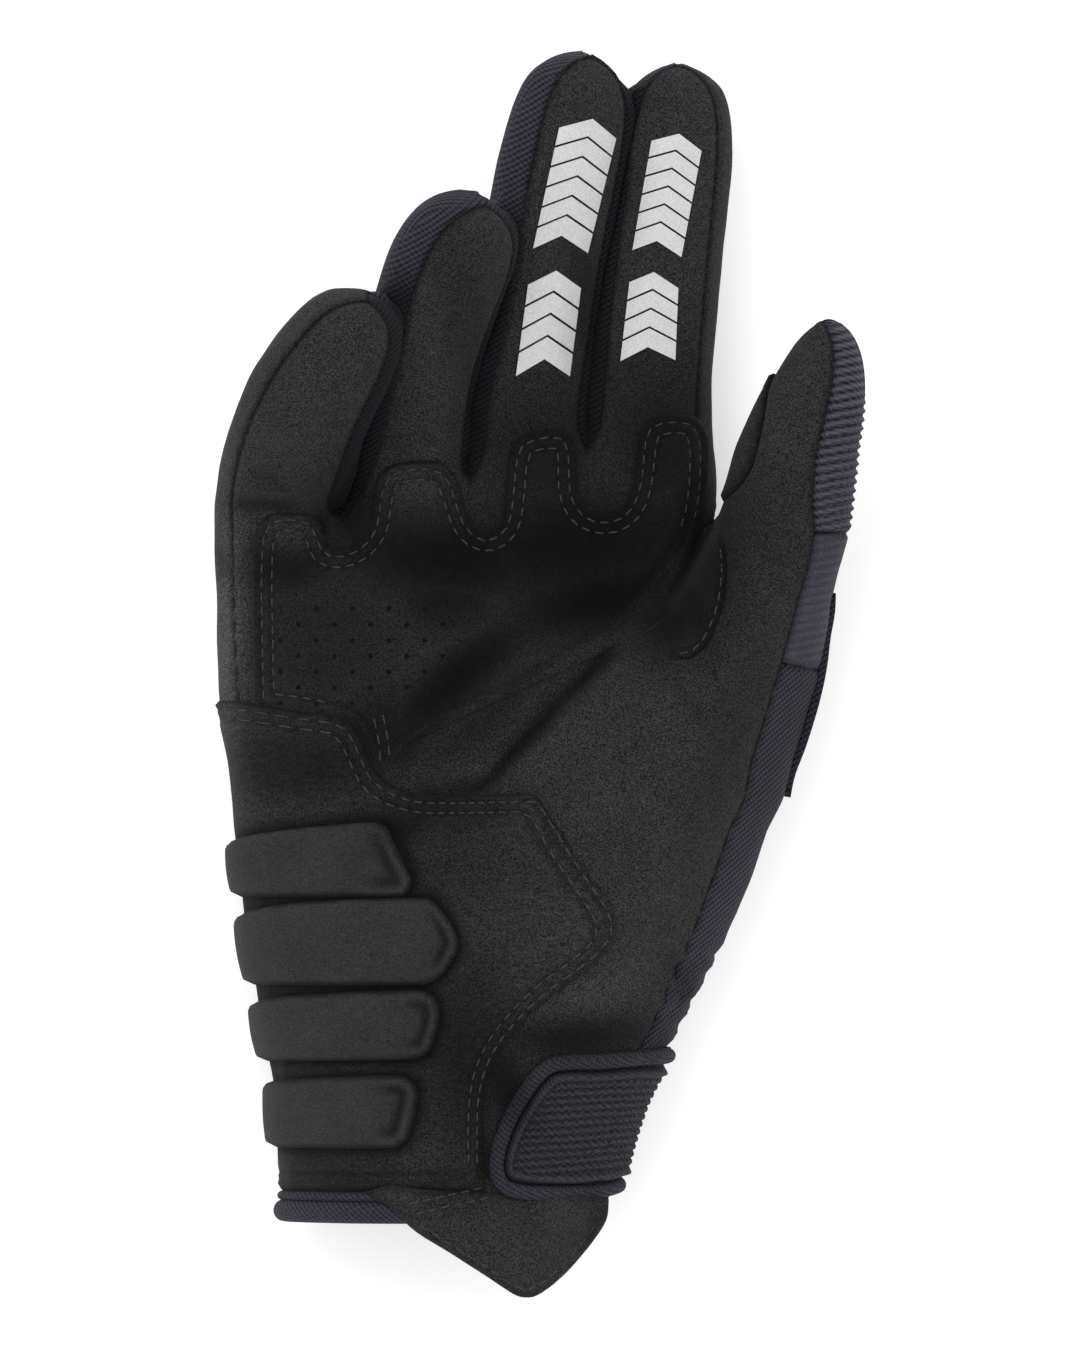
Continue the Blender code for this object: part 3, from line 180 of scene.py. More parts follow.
# Outlines, in pixels. A first word other than a number says that the row is read on a side, at a height in
# millimetres and a pixel row.
PALM_PATCH = (
    (255, 700), (254, 640), (253, 590), (254, 548), (258, 526), (272, 513), (298, 512), (316, 518), (324, 534),
    (330, 550), (352, 545), (368, 528), (372, 502), (378, 478), (392, 465), (416, 461), (442, 463), (456, 478),
    (464, 502), (474, 526), (488, 534), (500, 524), (505, 496), (508, 462), (516, 440), (535, 431), (558, 429),
    (573, 436), (577, 460), (578, 490), (586, 508), (604, 515), (622, 508), (632, 486), (636, 452), (640, 428),
    (655, 416), (680, 414), (700, 420), (708, 440), (709, 470), (706, 505), (700, 530), (688, 556), (668, 580),
    (640, 612), (610, 642), (575, 668), (530, 694), (480, 716), (440, 734), (414, 752), (400, 776), (391, 788),
    (377, 778), (364, 760), (356, 740), (346, 728), (310, 718), (255, 711),
)
# The border of the palm patch that lies in the palm's long fold
PALM_PATCH_EDGE = (
    (716, 500), (706, 528), (690, 558), (668, 582), (640, 612), (610, 642), (575, 668), (530, 694), (480, 716),
    (440, 734), (414, 752), (400, 776),
)
HEEL_PATCH = (
    ("ulnar", 6.4, 700), (244, 702), (270, 706), (300, 711), (340, 716), (354, 722), (364, 738), (372, 758),
    (384, 778), (402, 789), (425, 795), (480, 795), (533, 794), (543, 800), (558, 822), (576, 850), (596, 880),
    (612, 903), (618, 922), (616, 938), (602, 955), (580, 974), (552, 994), (526, 1018), (503, 1046), (490, 1072),
    (484, 1100), (483, 1140), (484, 1190), ("ulnar", 6.4, 1190),
)
# Heel pads: left pixel rows at the side, then the pixels of the front end from top to bottom
HEEL_PADS = (
    (846, 897, ((300, 828), (372, 822), (388, 826), (397, 845), (408, 868), (413, 882), (409, 893), (398, 897))),
    (
        920, 985,
        ((300, 902), (400, 897), (430, 899), (444, 912), (456, 932), (459, 946), (451, 963), (438, 978), (424, 984)),
    ),
    (
        1005, 1062,
        ((300, 994), (395, 989), (424, 990), (436, 998), (440, 1014), (436, 1034), (428, 1052), (415, 1058)),
    ),
    (
        1083, 1148,
        ((300, 1078), (385, 1074), (406, 1076), (417, 1086), (418, 1100), (414, 1120), (408, 1138), (398, 1146)),
    ),
)
PAD_SIDE_HEIGHT = 9.6  # millimetres above the surface where the pads end at the side
STRAP = (
    ("thumb", 6.4, 1186), ("thumb", 6.4, 1046), (640, 1049), (600, 1053), (560, 1054), (545, 1058), (532, 1069),
    (516, 1092), (502, 1118), (492, 1145), (489, 1166), (492, 1181), (501, 1192), (520, 1197), (560, 1198),
    (600, 1195), (618, 1192),
)
WEB_PATCH = (
    (660, 652), (680, 661), (700, 653), (715, 630), (725, 598), (728, 566), (725, 540), (718, 520), (704, 528),
    (684, 556), (660, 590), (648, 622),
)
WEB_PATCH_EDGE = ((718, 514), (704, 528), (684, 556), (660, 590), (648, 622), (656, 650))
# The tab below the cuff
TAB = (
    (366, 1190), (382, 1200), (398, 1212), (410, 1224), (426, 1236), (452, 1252), (484, 1273), (506, 1288),
    (518, 1295), (532, 1296), (547, 1288), (566, 1272), (584, 1252), (598, 1234), (607, 1218), (609, 1197),
    (560, 1193), (480, 1190), (430, 1188), (390, 1184),
)
# On the thumb: degrees round its middle line and share of its length
THUMB_PATCH = (
    (160, 0.75), (128, 0.66), (118, 0.56), (119, 0.47), (132, 0.39), (152, 0.34), (168, 0.39), (174, 0.50),
    (174, 0.62), (170, 0.70),
)
# Chevrons: CAD name, how many, then left top, middle top, right top of the first and left bottom, middle bottom and
# right bottom of the last
CHEVRONS = (
    ("middle_upper", 6, (559, 129), (592, 120), (615, 139), (533, 249), (561, 236), (587, 253)),
    ("middle_lower", 4, (528, 285), (556, 271), (580, 288), (516, 376), (544, 359), (569, 376)),
    ("index_upper", 6, (652, 141), (679, 134), (701, 151), (633, 250), (657, 241), (681, 257)),
    ("index_lower", 4, (630, 282), (654, 272), (678, 288), (621, 361), (648, 347), (675, 360)),
)
# The field of the palm patch that is perforated
HOLE_FIELD = ((283, 600), (450, 604), (462, 650), (400, 700), (330, 708), (276, 706), (272, 650))
HOLE_CORNER = (281, 609)  # the pixel of one hole
HOLE_STEPS = (36.0, 31.5)  # pixels from hole to hole, across and along
HOLE_RADII = (0.00042, 0.00060)  # radii between which a hole's edge fades
# Sewn lines beside the strap and the heel patch
SEAM_LINES = (
    ((410, 1202), (440, 1195), (470, 1189), (486, 1185)),
    ((416, 1212), (445, 1205), (475, 1199), (492, 1195)),
    ((374, 718), (379, 740), (381, 766)),
    ((383, 714), (388, 738), (390, 760)),
)


def size_property(name, description, default):
    return bpy.props.FloatProperty(name=name, description=description, default=default, unit="LENGTH")


class GloveSizes(bpy.types.PropertyGroup):
    """Sizes of the laid pieces and the sewing."""

    patch_thickness: size_property("Patch thickness", "Thickness of the suede patches", 0.0010)
    pad_thickness: size_property("Pad thickness", "How far the heel pads stand above their patch", 0.0029)
    strap_thickness: size_property("Strap thickness", "Thickness of the woven strap", 0.0022)
    binding_radius: size_property("Binding radius", "Radius of the knit roll round the strap", 0.0014)
    seam_depth: size_property("Seam depth", "How far a panel turns in at its seams", 0.00045)
    stitch_length: size_property("Stitch length", "Length of thread that shows in one stitch", 0.0020)
    stitch_pitch: size_property("Stitch pitch", "Distance from stitch to stitch", 0.0028)
    thread_radius: size_property("Thread radius", "Radius of the sewing thread", 0.00017)
    film_thickness: size_property("Film thickness", "Thickness of the reflective film", 0.00030)
    camera_distance: size_property("Camera distance", "Height of the camera above the glove", 5.0)


def colour_property(name, description, colour):
    return bpy.props.FloatVectorProperty(
        name=name, description=description, default=colour, subtype="COLOR", size=3, min=0.0, max=1.0
    )


class GloveColours(bpy.types.PropertyGroup):
    """Colours of the materials."""

    suede: colour_property("Suede", "Palm and finger suede", (0.0205, 0.0205, 0.0205))
    heel: colour_property("Heel suede", "Suede of the heel patch", (0.0215, 0.0215, 0.0218))
    patch: colour_property("Patch suede", "Suede of the palm patch", (0.0180, 0.0180, 0.0192))
    pad: colour_property("Pad suede", "Suede over the foam pads", (0.0235, 0.0235, 0.0235))
    twill: colour_property("Twill knit", "Stretch knit of the sides and back", (0.021, 0.021, 0.030))
    rib: colour_property("Rib knit", "Ribbed knit of the thumb", (0.038, 0.037, 0.050))
    strap: colour_property("Strap", "Woven strap", (0.030, 0.030, 0.040))
    binding: colour_property("Binding", "Knit binding tape", (0.023, 0.023, 0.032))
    thread: colour_property("Thread", "Sewing thread", (0.050, 0.050, 0.054))
    film: colour_property("Film", "Reflective film", (0.58, 0.57, 0.58))
    floor: colour_property("Floor", "Floor under the glove", (0.75, 0.75, 0.75))


def sizes():
    return bpy.context.scene.glove_sizes


def colours():
    return bpy.context.scene.glove_colours


# Places and outlines


def unit(vectors):
    lengths = np.linalg.norm(vectors, axis=-1, keepdims=True)
    return vectors / np.maximum(lengths, 1e-12)


def smooth_step(values, low, high):
    share = np.clip((values - low) / (high - low), 0.0, 1.0)
    return share * share * (3 - 2 * share)


def bell(values, width):
    """1 at zero, and less on both sides over a width."""
    return np.exp(-((values / width) ** 2))


def plan(pixels):
    """Places in the photograph, in metres over the frame's origin."""
    pixels = np.asarray(pixels, float)
    return np.stack(
        [(pixels[..., 0] - MIDDLE_PIXEL[0]) * PIXEL, (MIDDLE_PIXEL[1] - pixels[..., 1]) * PIXEL], axis=-1
    )


def x_of(column):
    return float(plan((column, 0))[0])


def y_of(row):
    return float(plan((0, row))[1])


def line_distance(points, line, closed=False):
    """Distance of flat points to a line of flat points."""
    starts = line if closed else line[:-1]
    ends = np.roll(line, -1, axis=0) if closed else line[1:]
    best = np.full(len(points), 1e9)
    for a, b in zip(starts, ends):
        way = b - a
        share = np.clip((points - a) @ way / max(way @ way, 1e-18), 0, 1)
        best = np.minimum(best, np.linalg.norm(points - a - share[:, None] * way, axis=1))
    return best


def inside(points, outline):
    crossings = np.zeros(len(points), int)
    for a, b in zip(outline, np.roll(outline, -1, axis=0)):
        spans = (a[1] > points[:, 1]) != (b[1] > points[:, 1])
        rise = b[1] - a[1] if b[1] != a[1] else 1.0
        crossings += spans & (points[:, 0] < a[0] + (points[:, 1] - a[1]) * (b[0] - a[0]) / rise)
    return crossings % 2 == 1


def smooth_line(corners, step, closed=True, sharp_angle=62):
    """A curve through the corners with points a step apart. It turns sharply at its sharp corners."""
    corners = np.asarray(corners, float)
    before, after = np.roll(corners, 1, axis=0), np.roll(corners, -1, axis=0)
    if not closed:
        before[0] = 2 * corners[0] - corners[1]
        after[-1] = 2 * corners[-1] - corners[-2]
    into, out = unit(corners - before), unit(after - corners)
    sharp = np.sum(into * out, axis=1) < math.cos(math.radians(sharp_angle))
    spans = np.linalg.norm(after - corners, axis=1)
    reach = np.minimum(spans, np.linalg.norm(corners - before, axis=1))
    ahead = unit(into + out) * reach[:, None]
    made = []
    for i in range(len(corners) if closed else len(corners) - 1):
        j = (i + 1) % len(corners)
        straight = corners[j] - corners[i]
        first = straight if sharp[i] else ahead[i]
        last = straight if sharp[j] else ahead[j]
        t = (np.arange(max(1, round(spans[i] / step))) / max(1, round(spans[i] / step)))[:, None]
        made.append(
            (2 * t**3 - 3 * t**2 + 1) * corners[i]
            + (t**3 - 2 * t**2 + t) * first
            + (3 * t**2 - 2 * t**3) * corners[j]
            + (t**3 - t**2) * last
        )
    made = np.concatenate(made)
    return made if closed else np.concatenate([made, corners[-1:]])


def even_line(line, step, closed=False):
    """The line with points an even step apart."""
    line = np.concatenate([line, line[:1]]) if closed else line
    runs = np.concatenate([[0], np.cumsum(np.linalg.norm(np.diff(line, axis=0), axis=1))])
    count = max(2, round(runs[-1] / step))
    places = np.linspace(0, runs[-1], count + 1)
    made = np.stack([np.interp(places, runs, line[:, k]) for k in range(line.shape[1])], axis=1)
    return made[:-1] if closed else made


def counter_clockwise(outline):
    x, y = outline.T
    return outline if np.sum(x * np.roll(y, -1) - y * np.roll(x, -1)) > 0 else outline[::-1]


def inset_line(outline, distance):
    """The closed outline moved inwards, without the loops that this makes in narrow corners."""
    ahead = unit(np.roll(outline, -1, axis=0) - np.roll(outline, 1, axis=0))
    moved = outline + np.stack([-ahead[:, 1], ahead[:, 0]], axis=1) * distance
    kept = line_distance(moved, outline, closed=True) > 0.95 * distance
    return moved[kept]


def filled(outline, step):
    """Triangles inside an outline, on a staggered grid. Returns points and faces."""
    low, high = outline.min(axis=0), outline.max(axis=0)
    row_step = step * math.sqrt(3) / 2
    rows = np.arange(low[1] + row_step / 2, high[1], row_step)
    grid = np.array([(x, y) for k, y in enumerate(rows) for x in np.arange(low[0] + (k % 2) * step / 2, high[0], step)])
    grid = grid[inside(grid, outline)]
    grid = grid[line_distance(grid, outline, closed=True) > 0.45 * step]
    points = np.concatenate([outline, grid])
    edges = [(i, (i + 1) % len(outline)) for i in range(len(outline))]
    made, _, faces, _, _, _ = delaunay_2d_cdt([Vector(p) for p in points], edges, [], 0, 1e-9, False)
    made = np.array([tuple(p) for p in made])
    faces = np.array([tuple(face) for face in faces])
    faces = faces[inside(made[faces].mean(axis=1), outline)]
    return made, faces


# Meshes


def add_piece(name, points, faces, finish, replaced=(), smooth=True, shades=None):
    """A new piece that rides on the glove."""
    mesh = bpy.data.meshes.new(name)
    mesh.from_pydata([tuple(map(float, p)) for p in points], [], [tuple(map(int, f)) for f in faces])
    mesh.validate()
    mesh.update()
    return finish_piece(name, mesh, finish, replaced, smooth, shades)


def finish_piece(name, mesh, finish, replaced=(), smooth=True, shades=None):
    piece = bpy.data.objects.new(name, mesh)
    bpy.context.scene.collection.objects.link(piece)
    if smooth:
        mesh.polygons.foreach_set("use_smooth", [True] * len(mesh.polygons))
    mesh.materials.clear()
    mesh.materials.append(material(finish))
    set_shade(mesh, shades)
    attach(piece, "root")
    if replaced:
        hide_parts(*replaced)
    return piece


def mesh_points(mesh, kind="co"):
    values = np.zeros(len(mesh.vertices) * 3, np.float32)
    source = mesh.vertices if kind == "co" else mesh.vertex_normals
    source.foreach_get("co" if kind == "co" else "vector", values)
    return values.reshape(-1, 3).astype(float)


def turned_spots(points, spots):
    """How much of a set of soft elliptical spots each flat point takes."""
    total = np.zeros(len(points))
    for px, py, across, along, turn, strength in spots:
        offset = points - plan((px, py))
        angle = math.radians(turn)
        u = (offset[:, 0] * math.cos(angle) + offset[:, 1] * math.sin(angle)) / (across * PIXEL)
        v = (-offset[:, 0] * math.sin(angle) + offset[:, 1] * math.cos(angle)) / (along * PIXEL)
        total = np.maximum(total, strength * np.exp(-((u * u + v * v) ** 1.2)))
    return total


def above_floor(points):
    """The points, with those below the floor lifted onto it."""
    points[:, 2] = np.maximum(points[:, 2], 0.0)
    return points


def two_sided(upper, lower):
    """A value for each upper point of a laid sheet, and one value for all its lower points."""
    return np.concatenate([upper, np.full(len(upper), lower)])


def set_layer(mesh, name, values):
    """Writes a value at each point, which the materials read by its name."""
    mesh.attributes.new(name, "FLOAT", "POINT").data.foreach_set("value", values.astype(np.float32))


def set_shade(mesh, shades=None):
    """Writes the painted shade (dark), the painted light (light) and the painted shade of creases and edges (crease) at
    each point.
    """
    points = mesh_points(mesh)
    # Painted shade of the palm's hollow and folds, only on the upper side, and painted light on the lit places
    front = smooth_step(points[:, 2], 0.010, 0.018)
    dark = turned_spots(points[:, :2], SHADES) * front
    light = turned_spots(points[:, :2], LIGHTS)
    for name, values in (("dark", dark), ("light", light), ("crease", shades)):
        set_layer(mesh, name, np.zeros(len(points)) if values is None else values)


def mark_sides(shape):
    """Marks the faces of a wall by their material index: 0 outside, 1 inside, 2 the rim between them."""
    left = set(shape.faces)
    regions = []
    while left:
        stack = [left.pop()]
        region = list(stack)
        while stack:
            for edge in stack.pop().edges:
                if edge.is_manifold and edge.calc_face_angle(0.0) < SHARP:
                    more = [face for face in edge.link_faces if face in left]
                    left.difference_update(more)
                    region += more
                    stack += more
        regions.append(region)
    regions.sort(key=lambda region: -sum(face.calc_area() for face in region))
    for side, region in enumerate(regions):
        for face in region:
            face.material_index = min(side, 2)


def refined_panel(cad_name, splits):
    """A copy of a CAD panel with its triangles joined to quads and smoothly split, and places along its seams."""
    shape = bmesh.new()
    shape.from_mesh(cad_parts[cad_name].data)
    bmesh.ops.remove_doubles(shape, verts=shape.verts, dist=1e-6)
    mark_sides(shape)
    bmesh.ops.join_triangles(
        shape,
        faces=shape.faces,
        cmp_materials=True,
        angle_face_threshold=math.radians(40),
        angle_shape_threshold=math.radians(75),
    )
    crease = shape.edges.layers.float.new("crease_edge")
    corner = shape.verts.layers.float.new("crease_vert")
    for vert in shape.verts:
        ways = []
        for edge in vert.link_edges:
            if len({face.material_index for face in edge.link_faces}) > 1:
                ways.append((edge.other_vert(vert).co - vert.co).normalized())
        if len(ways) == 2 and ways[0].dot(ways[1]) > -math.cos(CORNER):
            vert[corner] = 1.0
    seam = []
    for edge in shape.edges:
        sides = {face.material_index for face in edge.link_faces}
        if len(sides) > 1:
            edge[crease] = 1.0
            if 0 in sides:
                for share in np.linspace(0, 1, 7):
                    seam.append(edge.verts[0].co.lerp(edge.verts[1].co, share))
    mesh = bpy.data.meshes.new(cad_name + "_coarse")
    for _ in range(3):
        mesh.materials.append(None)
    shape.to_mesh(mesh)
    shape.free()
    guide = bpy.data.objects.new(cad_name + "_coarse", mesh)
    bpy.context.scene.collection.objects.link(guide)
    smooth = guide.modifiers.new("Smooth", "SUBSURF")
    smooth.levels = smooth.render_levels = splits
    graph = bpy.context.evaluated_depsgraph_get()
    made = bpy.data.meshes.new_from_object(guide.evaluated_get(graph))
    bpy.data.objects.remove(guide)
    bpy.data.meshes.remove(mesh)
    return made, seam


def side_normals(mesh, points):
    """Normals of the wall's outside, and of its rim, at each point. Both are zero where a point has none."""
    count = len(mesh.polygons)
    corners = np.zeros(count * 4, np.int64)
    mesh.loops.foreach_get("vertex_index", corners)
    corners = corners.reshape(-1, 4)
    sides = np.zeros(count, np.int64)
    mesh.polygons.foreach_get("material_index", sides)
    across = np.cross(points[corners[:, 2]] - points[corners[:, 0]], points[corners[:, 3]] - points[corners[:, 1]])
    made = []
    for side in (0, 2):
        normals = np.zeros_like(points)
        for k in range(4):
            np.add.at(normals, corners[sides == side, k], across[sides == side])
        made.append(unit(normals))
    return made


def tree_of_places(places):
    tree = KDTree(len(places))
    for i, place in enumerate(places):
        tree.insert(place, i)
    tree.balance()
    return tree


def sewn_deep(name, seams):
    """For each seam place of a panel: 1 where the seam is sewn in, 0 where the panel runs on without a groove."""
    others, owners = [], []
    for other, places in seams.items():
        if other != name:
            others += places
            owners += [other] * len(places)
    tree = tree_of_places(others)
    made = []
    for place in seams[name]:
        _, index, away = tree.find(place)
        made.append(0.0 if away < 0.002 and {name, owners[index]} in FLUSH else 1.0)
    return np.array(made)


def fold_push(points):
    """How far the folds push each point down, and how deep in a fold it lies, for the painted shade in the fold."""
    flat = points[:, :2]
    push = np.zeros(len(points))
    deep = np.zeros(len(points))
    for depth, half_width, pixels in FOLDS:
        line = smooth_line(plan(pixels), 0.002, closed=False)
        low, high = line.min(axis=0) - 0.012, line.max(axis=0) + 0.012
        near = np.all((flat > low) & (flat < high), axis=1)
        if not near.any():
            continue
        away = line_distance(flat[near], line)
        run = np.concatenate([[0], np.cumsum(np.linalg.norm(np.diff(line, axis=0), axis=1))])
        ends = np.minimum(
            np.linalg.norm(flat[near] - line[0], axis=1), np.linalg.norm(flat[near] - line[-1], axis=1)
        )
        fade = smooth_step(ends, 0.0, min(0.010, run[-1] / 3))
        share = bell(away, half_width / 1000) * fade
        push[near] += depth / 1000 * share
        if depth > 0:
            deep[near] = np.maximum(deep[near], share * min(1.0, depth))
    return push, deep


def waves(points, scale, seed):
    """Smooth values from -1 to 1 that change over a length."""
    shift = Vector((seed * 3.1, seed * 1.7, seed * 0.9))
    return np.array([noise.noise(Vector(p) / scale + shift) for p in points])


def side_shift(points):
    """How far each point moves sideways."""
    rows = MIDDLE_PIXEL[1] - points[:, 1] / PIXEL
    table = np.array(SIDE_SHIFTS, float)
    little = np.interp(rows, table[:, 0], table[:, 1]) * (1 - smooth_step(points[:, 0], -0.056, -0.026))
    thumb_reach = 0.042 + 0.25 * points[:, 1]
    thumb = np.interp(rows, table[:, 0], table[:, 2]) * smooth_step(points[:, 0], 0.0, thumb_reach)
    return (thumb - little) * PIXEL


def rib_push(points, near_seam):
    """How far the thumb's ribs stand out, with the valley at their lower end, and that valley's depth, painted as
    shade.
    """
    window = smooth_step(points[:, 1], *RIB_ROWS[:2]) * (1 - smooth_step(points[:, 1], *RIB_ROWS[2:]))
    ridges = np.cos(2 * math.pi * (points[:, 1] - RIB_SLANT * points[:, 0]) / RIB_PITCH)
    joint = bell(points[:, 1] - RIB_ROWS[0], 0.0005)
    return RIB_HEIGHT * ridges * window * smooth_step(near_seam, 0.0004, 0.0016) - 0.0007 * joint, joint


def gather_push(points):
    """How far the gathers of the elastic at the wrist stand out: wide puckers, and fine ones in a tight row."""
    window = smooth_step(points[:, 1], -0.080, -0.072) * (1 - smooth_step(points[:, 1], -0.060, -0.046))
    window *= smooth_step(points[:, 0], 0.012, 0.024)
    bent = waves(points, 0.009, 5) * 0.0035
    puckers = np.sin(2 * math.pi * (points[:, 1] + 0.5 * points[:, 0] + bent) / 0.0062)
    fine = np.sin(2 * math.pi * (points[:, 1] + 0.7 * points[:, 0]) / 0.0019)
    return (0.00042 * puckers + 0.00018 * fine * bell(points[:, 1] + 0.0645, 0.0028)) * window


def seam_places(points, seam, deep_seam, rim):
    """How near each point is to a seam, how deep that seam is sewn, and the rim's direction there."""
    tree = tree_of_places(seam)
    found = [tree.find(Vector(p)) for p in points]
    on_rim = np.linalg.norm(rim, axis=1) > 0.5
    rim_tree = tree_of_places([Vector(p) for p in points[on_rim]])
    closest = np.array([rim_tree.find(Vector(p))[1] for p in points])
    return np.array([hit[2] for hit in found]), deep_seam[[hit[1] for hit in found]], rim[on_rim][closest]


def shaped(mesh, seam, deep_seam, cad_name):
    """A panel's points with turned-in seams, folds and the small waves of soft cloth, and the painted shade of its
    creases.
    """
    points = mesh_points(mesh)
    outward, rim = side_normals(mesh, points)
    near_seam, sewn, across = seam_places(points, seam, deep_seam, rim)
    moved = points + across * (SEAM_CLOSING * bell(near_seam, 0.0008))[:, None]
    turned_in = (1 - smooth_step(near_seam, 0.0, SEAM_WIDTH)) ** 1.5 * sewn
    ridge = bell(near_seam - 1.15 * SEAM_WIDTH, 0.4 * SEAM_WIDTH) * sewn
    moved += outward * (0.3 * sizes().seam_depth * ridge - sizes().seam_depth * turned_in)[:, None]
    push, deep = fold_push(points)
    front = smooth_step(points[:, 2], 0.012, 0.019)
    moved[:, 2] -= push * front
    middle = np.stack([np.full(len(points), HAND_AXIS[0]), points[:, 1], np.full(len(points), HAND_AXIS[1])], axis=1)
    out = unit(points - middle)
    off_floor = smooth_step(points[:, 2], 0.003, 0.010)
    soft = waves(points, 0.016, 1) * 0.00045 + waves(points, 0.007, 2) * 0.00016
    moved += out * (soft * off_floor * smooth_step(near_seam, 0.0, 0.003))[:, None]
    # Painted shade in the seams' grooves, then in the valley below the ribs, on the knit between fingers and in the
    # folds
    crease = bell(near_seam, 0.0007) * (0.35 + 0.65 * sewn)
    if cad_name == "thumb_rib_panel":
        ribs, joint = rib_push(points, near_seam)
        moved += outward * ribs[:, None]
        crease = np.maximum(crease, 1.4 * joint)
    if cad_name in ("thumb_side_panel", "thumb_panel"):
        moved += out * gather_push(points)[:, None]
    if cad_name in SHADED_KNIT:
        rows = MIDDLE_PIXEL[1] - points[:, 1] / PIXEL
        crease = np.maximum(crease, 1.25 * smooth_step(rows, *SHADED_KNIT[cad_name]))
    moved[:, 0] += side_shift(points)
    return above_floor(moved), np.clip(np.maximum(deep * front, crease), 0, 1.4)


# What the laid pieces rest on


class Ground:
    """The shown surfaces that pieces are laid on."""

    def __init__(self):
        self.points = []
        self.faces = []
        self.count = 0
        self.tree = None

    def add(self, piece):
        mesh = piece.data
        points = mesh_points(mesh)
        self.points.append(points)
        loops = np.zeros(len(mesh.loops), np.int64)
        mesh.loops.foreach_get("vertex_index", loops)
        starts = np.zeros(len(mesh.polygons), np.int64)
        totals = np.zeros(len(mesh.polygons), np.int64)
        mesh.polygons.foreach_get("loop_start", starts)
        mesh.polygons.foreach_get("loop_total", totals)
        for start, total in zip(starts.tolist(), totals.tolist()):
            self.faces.append(tuple((loops[start : start + total] + self.count).tolist()))
        self.count += len(points)
        self.tree = None

    def hit_away(self, start, way):
        if self.tree is None:
            self.tree = BVHTree.FromPolygons([Vector(p) for p in np.concatenate(self.points)], self.faces)
        place, normal, _, away = self.tree.ray_cast(Vector(start), Vector(way))
        return place, normal, away

    def hit(self, start, way):
        return self.hit_away(start, way)[:2]

    def nearest(self, place):
        if self.tree is None:
            self.hit((0, 0, 1), (0, 0, -1))
        return self.tree.find_nearest(Vector(place))


ground = Ground()


class Above:
    """Flat places are x and y, read from straight above."""

    def read(self, row):
        return plan(row)

    def axis(self, flat):
        return np.array((flat[0], flat[1], 0.0)), np.array((0.0, 0.0, 1.0))

    def cast(self, flat):
        place, normal = ground.hit((flat[0], flat[1], 1.0), (0, 0, -1))
        if place is None:
            return self.axis(flat)
        return np.array(place), np.array(normal)


class Round:
    """Flat places are the distance round a middle line and the distance along it."""

    def __init__(self, start, ahead, radius, reach):
        self.reach = reach  # where rays start, as a multiple of the radius
        self.start = np.array(start)
        self.ahead = unit(np.array(ahead, float))
        self.side = unit(np.cross(self.ahead, (0, 0, 1)))
        self.up = np.cross(self.side, self.ahead)
        self.radius = radius

    def flat_place(self, place):
        offset = np.array(place) - self.start
        turn = math.atan2(float(offset @ self.up), float(offset @ self.side)) - math.pi / 2
        turn += 2 * math.pi if turn < -math.pi else 0.0
        return np.array((-turn * self.radius, float(offset @ self.ahead)))

    def turned(self, degrees, along):
        return np.array((-math.radians(degrees - 90) * self.radius, along))

    def read(self, row):
        if isinstance(row[0], str):
            side = 1.0 if row[0] == "thumb" else -1.0
            y = y_of(row[2])
            place, _ = ground.hit((side * FAR, y, row[1] / 1000), (-side, 0, 0))
        else:
            x, y = plan(row)
            place, _ = ground.hit((x, y, 1.0), (0, 0, -1))
            if place is None:
                near, _, _, _ = ground.nearest((x, y, 0.02))
                place = (x, y, near.z)
        if place is None:
            raise RuntimeError(f"nothing is beside {row}")
        return self.flat_place(place)

    def axis(self, flat):
        turn = math.pi / 2 - flat[0] / self.radius
        return self.start + self.ahead * flat[1], self.side * math.cos(turn) + self.up * math.sin(turn)

    def cast(self, flat):
        centre, out = self.axis(flat)
        place, normal = ground.hit(centre + out * self.radius * self.reach, -out)
        if place is None:
            place, normal, _, _ = ground.nearest(centre + out * self.radius)
        return np.array(place), np.array(normal)


ABOVE = Above()
HAND = Round((HAND_AXIS[0], 0.0, HAND_AXIS[1]), (0, 1, 0), HAND_RADIUS, 2.2)
THUMB = Round(THUMB_AXIS[0], np.subtract(THUMB_AXIS[1], THUMB_AXIS[0]), THUMB_RADIUS, 1.35)


def read_outline(rows, wrap, step):
    return even_line(counter_clockwise(smooth_line([wrap.read(row) for row in rows], step)), step, closed=True)


def point_normals(points, faces):
    corners = points[faces]
    made = np.cross(corners[:, 1] - corners[:, 0], corners[:, 2] - corners[:, 0])
    normals = np.zeros_like(points)
    for k in range(3):
        np.add.at(normals, faces[:, k], made)
    return unit(normals)


def without_spikes(values, faces, limit=0.0012):
    """Values with those far from their neighbours put between them, as where a ray fell into a gap."""
    for _ in range(12):
        mean = neighbours_of(values, faces)
        apart = np.abs(values - mean)
        bad = (apart > limit) & (apart >= 0.7 * neighbours_of(apart, faces, np.maximum))
        if not bad.any():
            break
        values = np.where(bad, mean, values)
    return values


def neighbours_of(values, faces, gather=np.add):
    """The mean of each point's neighbours, or their largest value."""
    edges = np.concatenate([faces[:, [0, 1]], faces[:, [1, 2]], faces[:, [2, 0]]])
    total = np.zeros_like(values)
    count = np.zeros(len(values))
    for a, b in ((0, 1), (1, 0)):
        gather.at(total, edges[:, a], values[edges[:, b]])
        np.add.at(count, edges[:, a], 1)
    if gather is not np.add:
        return total
    return total / np.maximum(count, 1).reshape((-1,) + (1,) * (values.ndim - 1))


def neighbour_mean(values, faces, times):
    """Values smoothed over the mesh."""
    for _ in range(times):
        values = 0.5 * values + 0.5 * neighbours_of(values, faces)
    return values


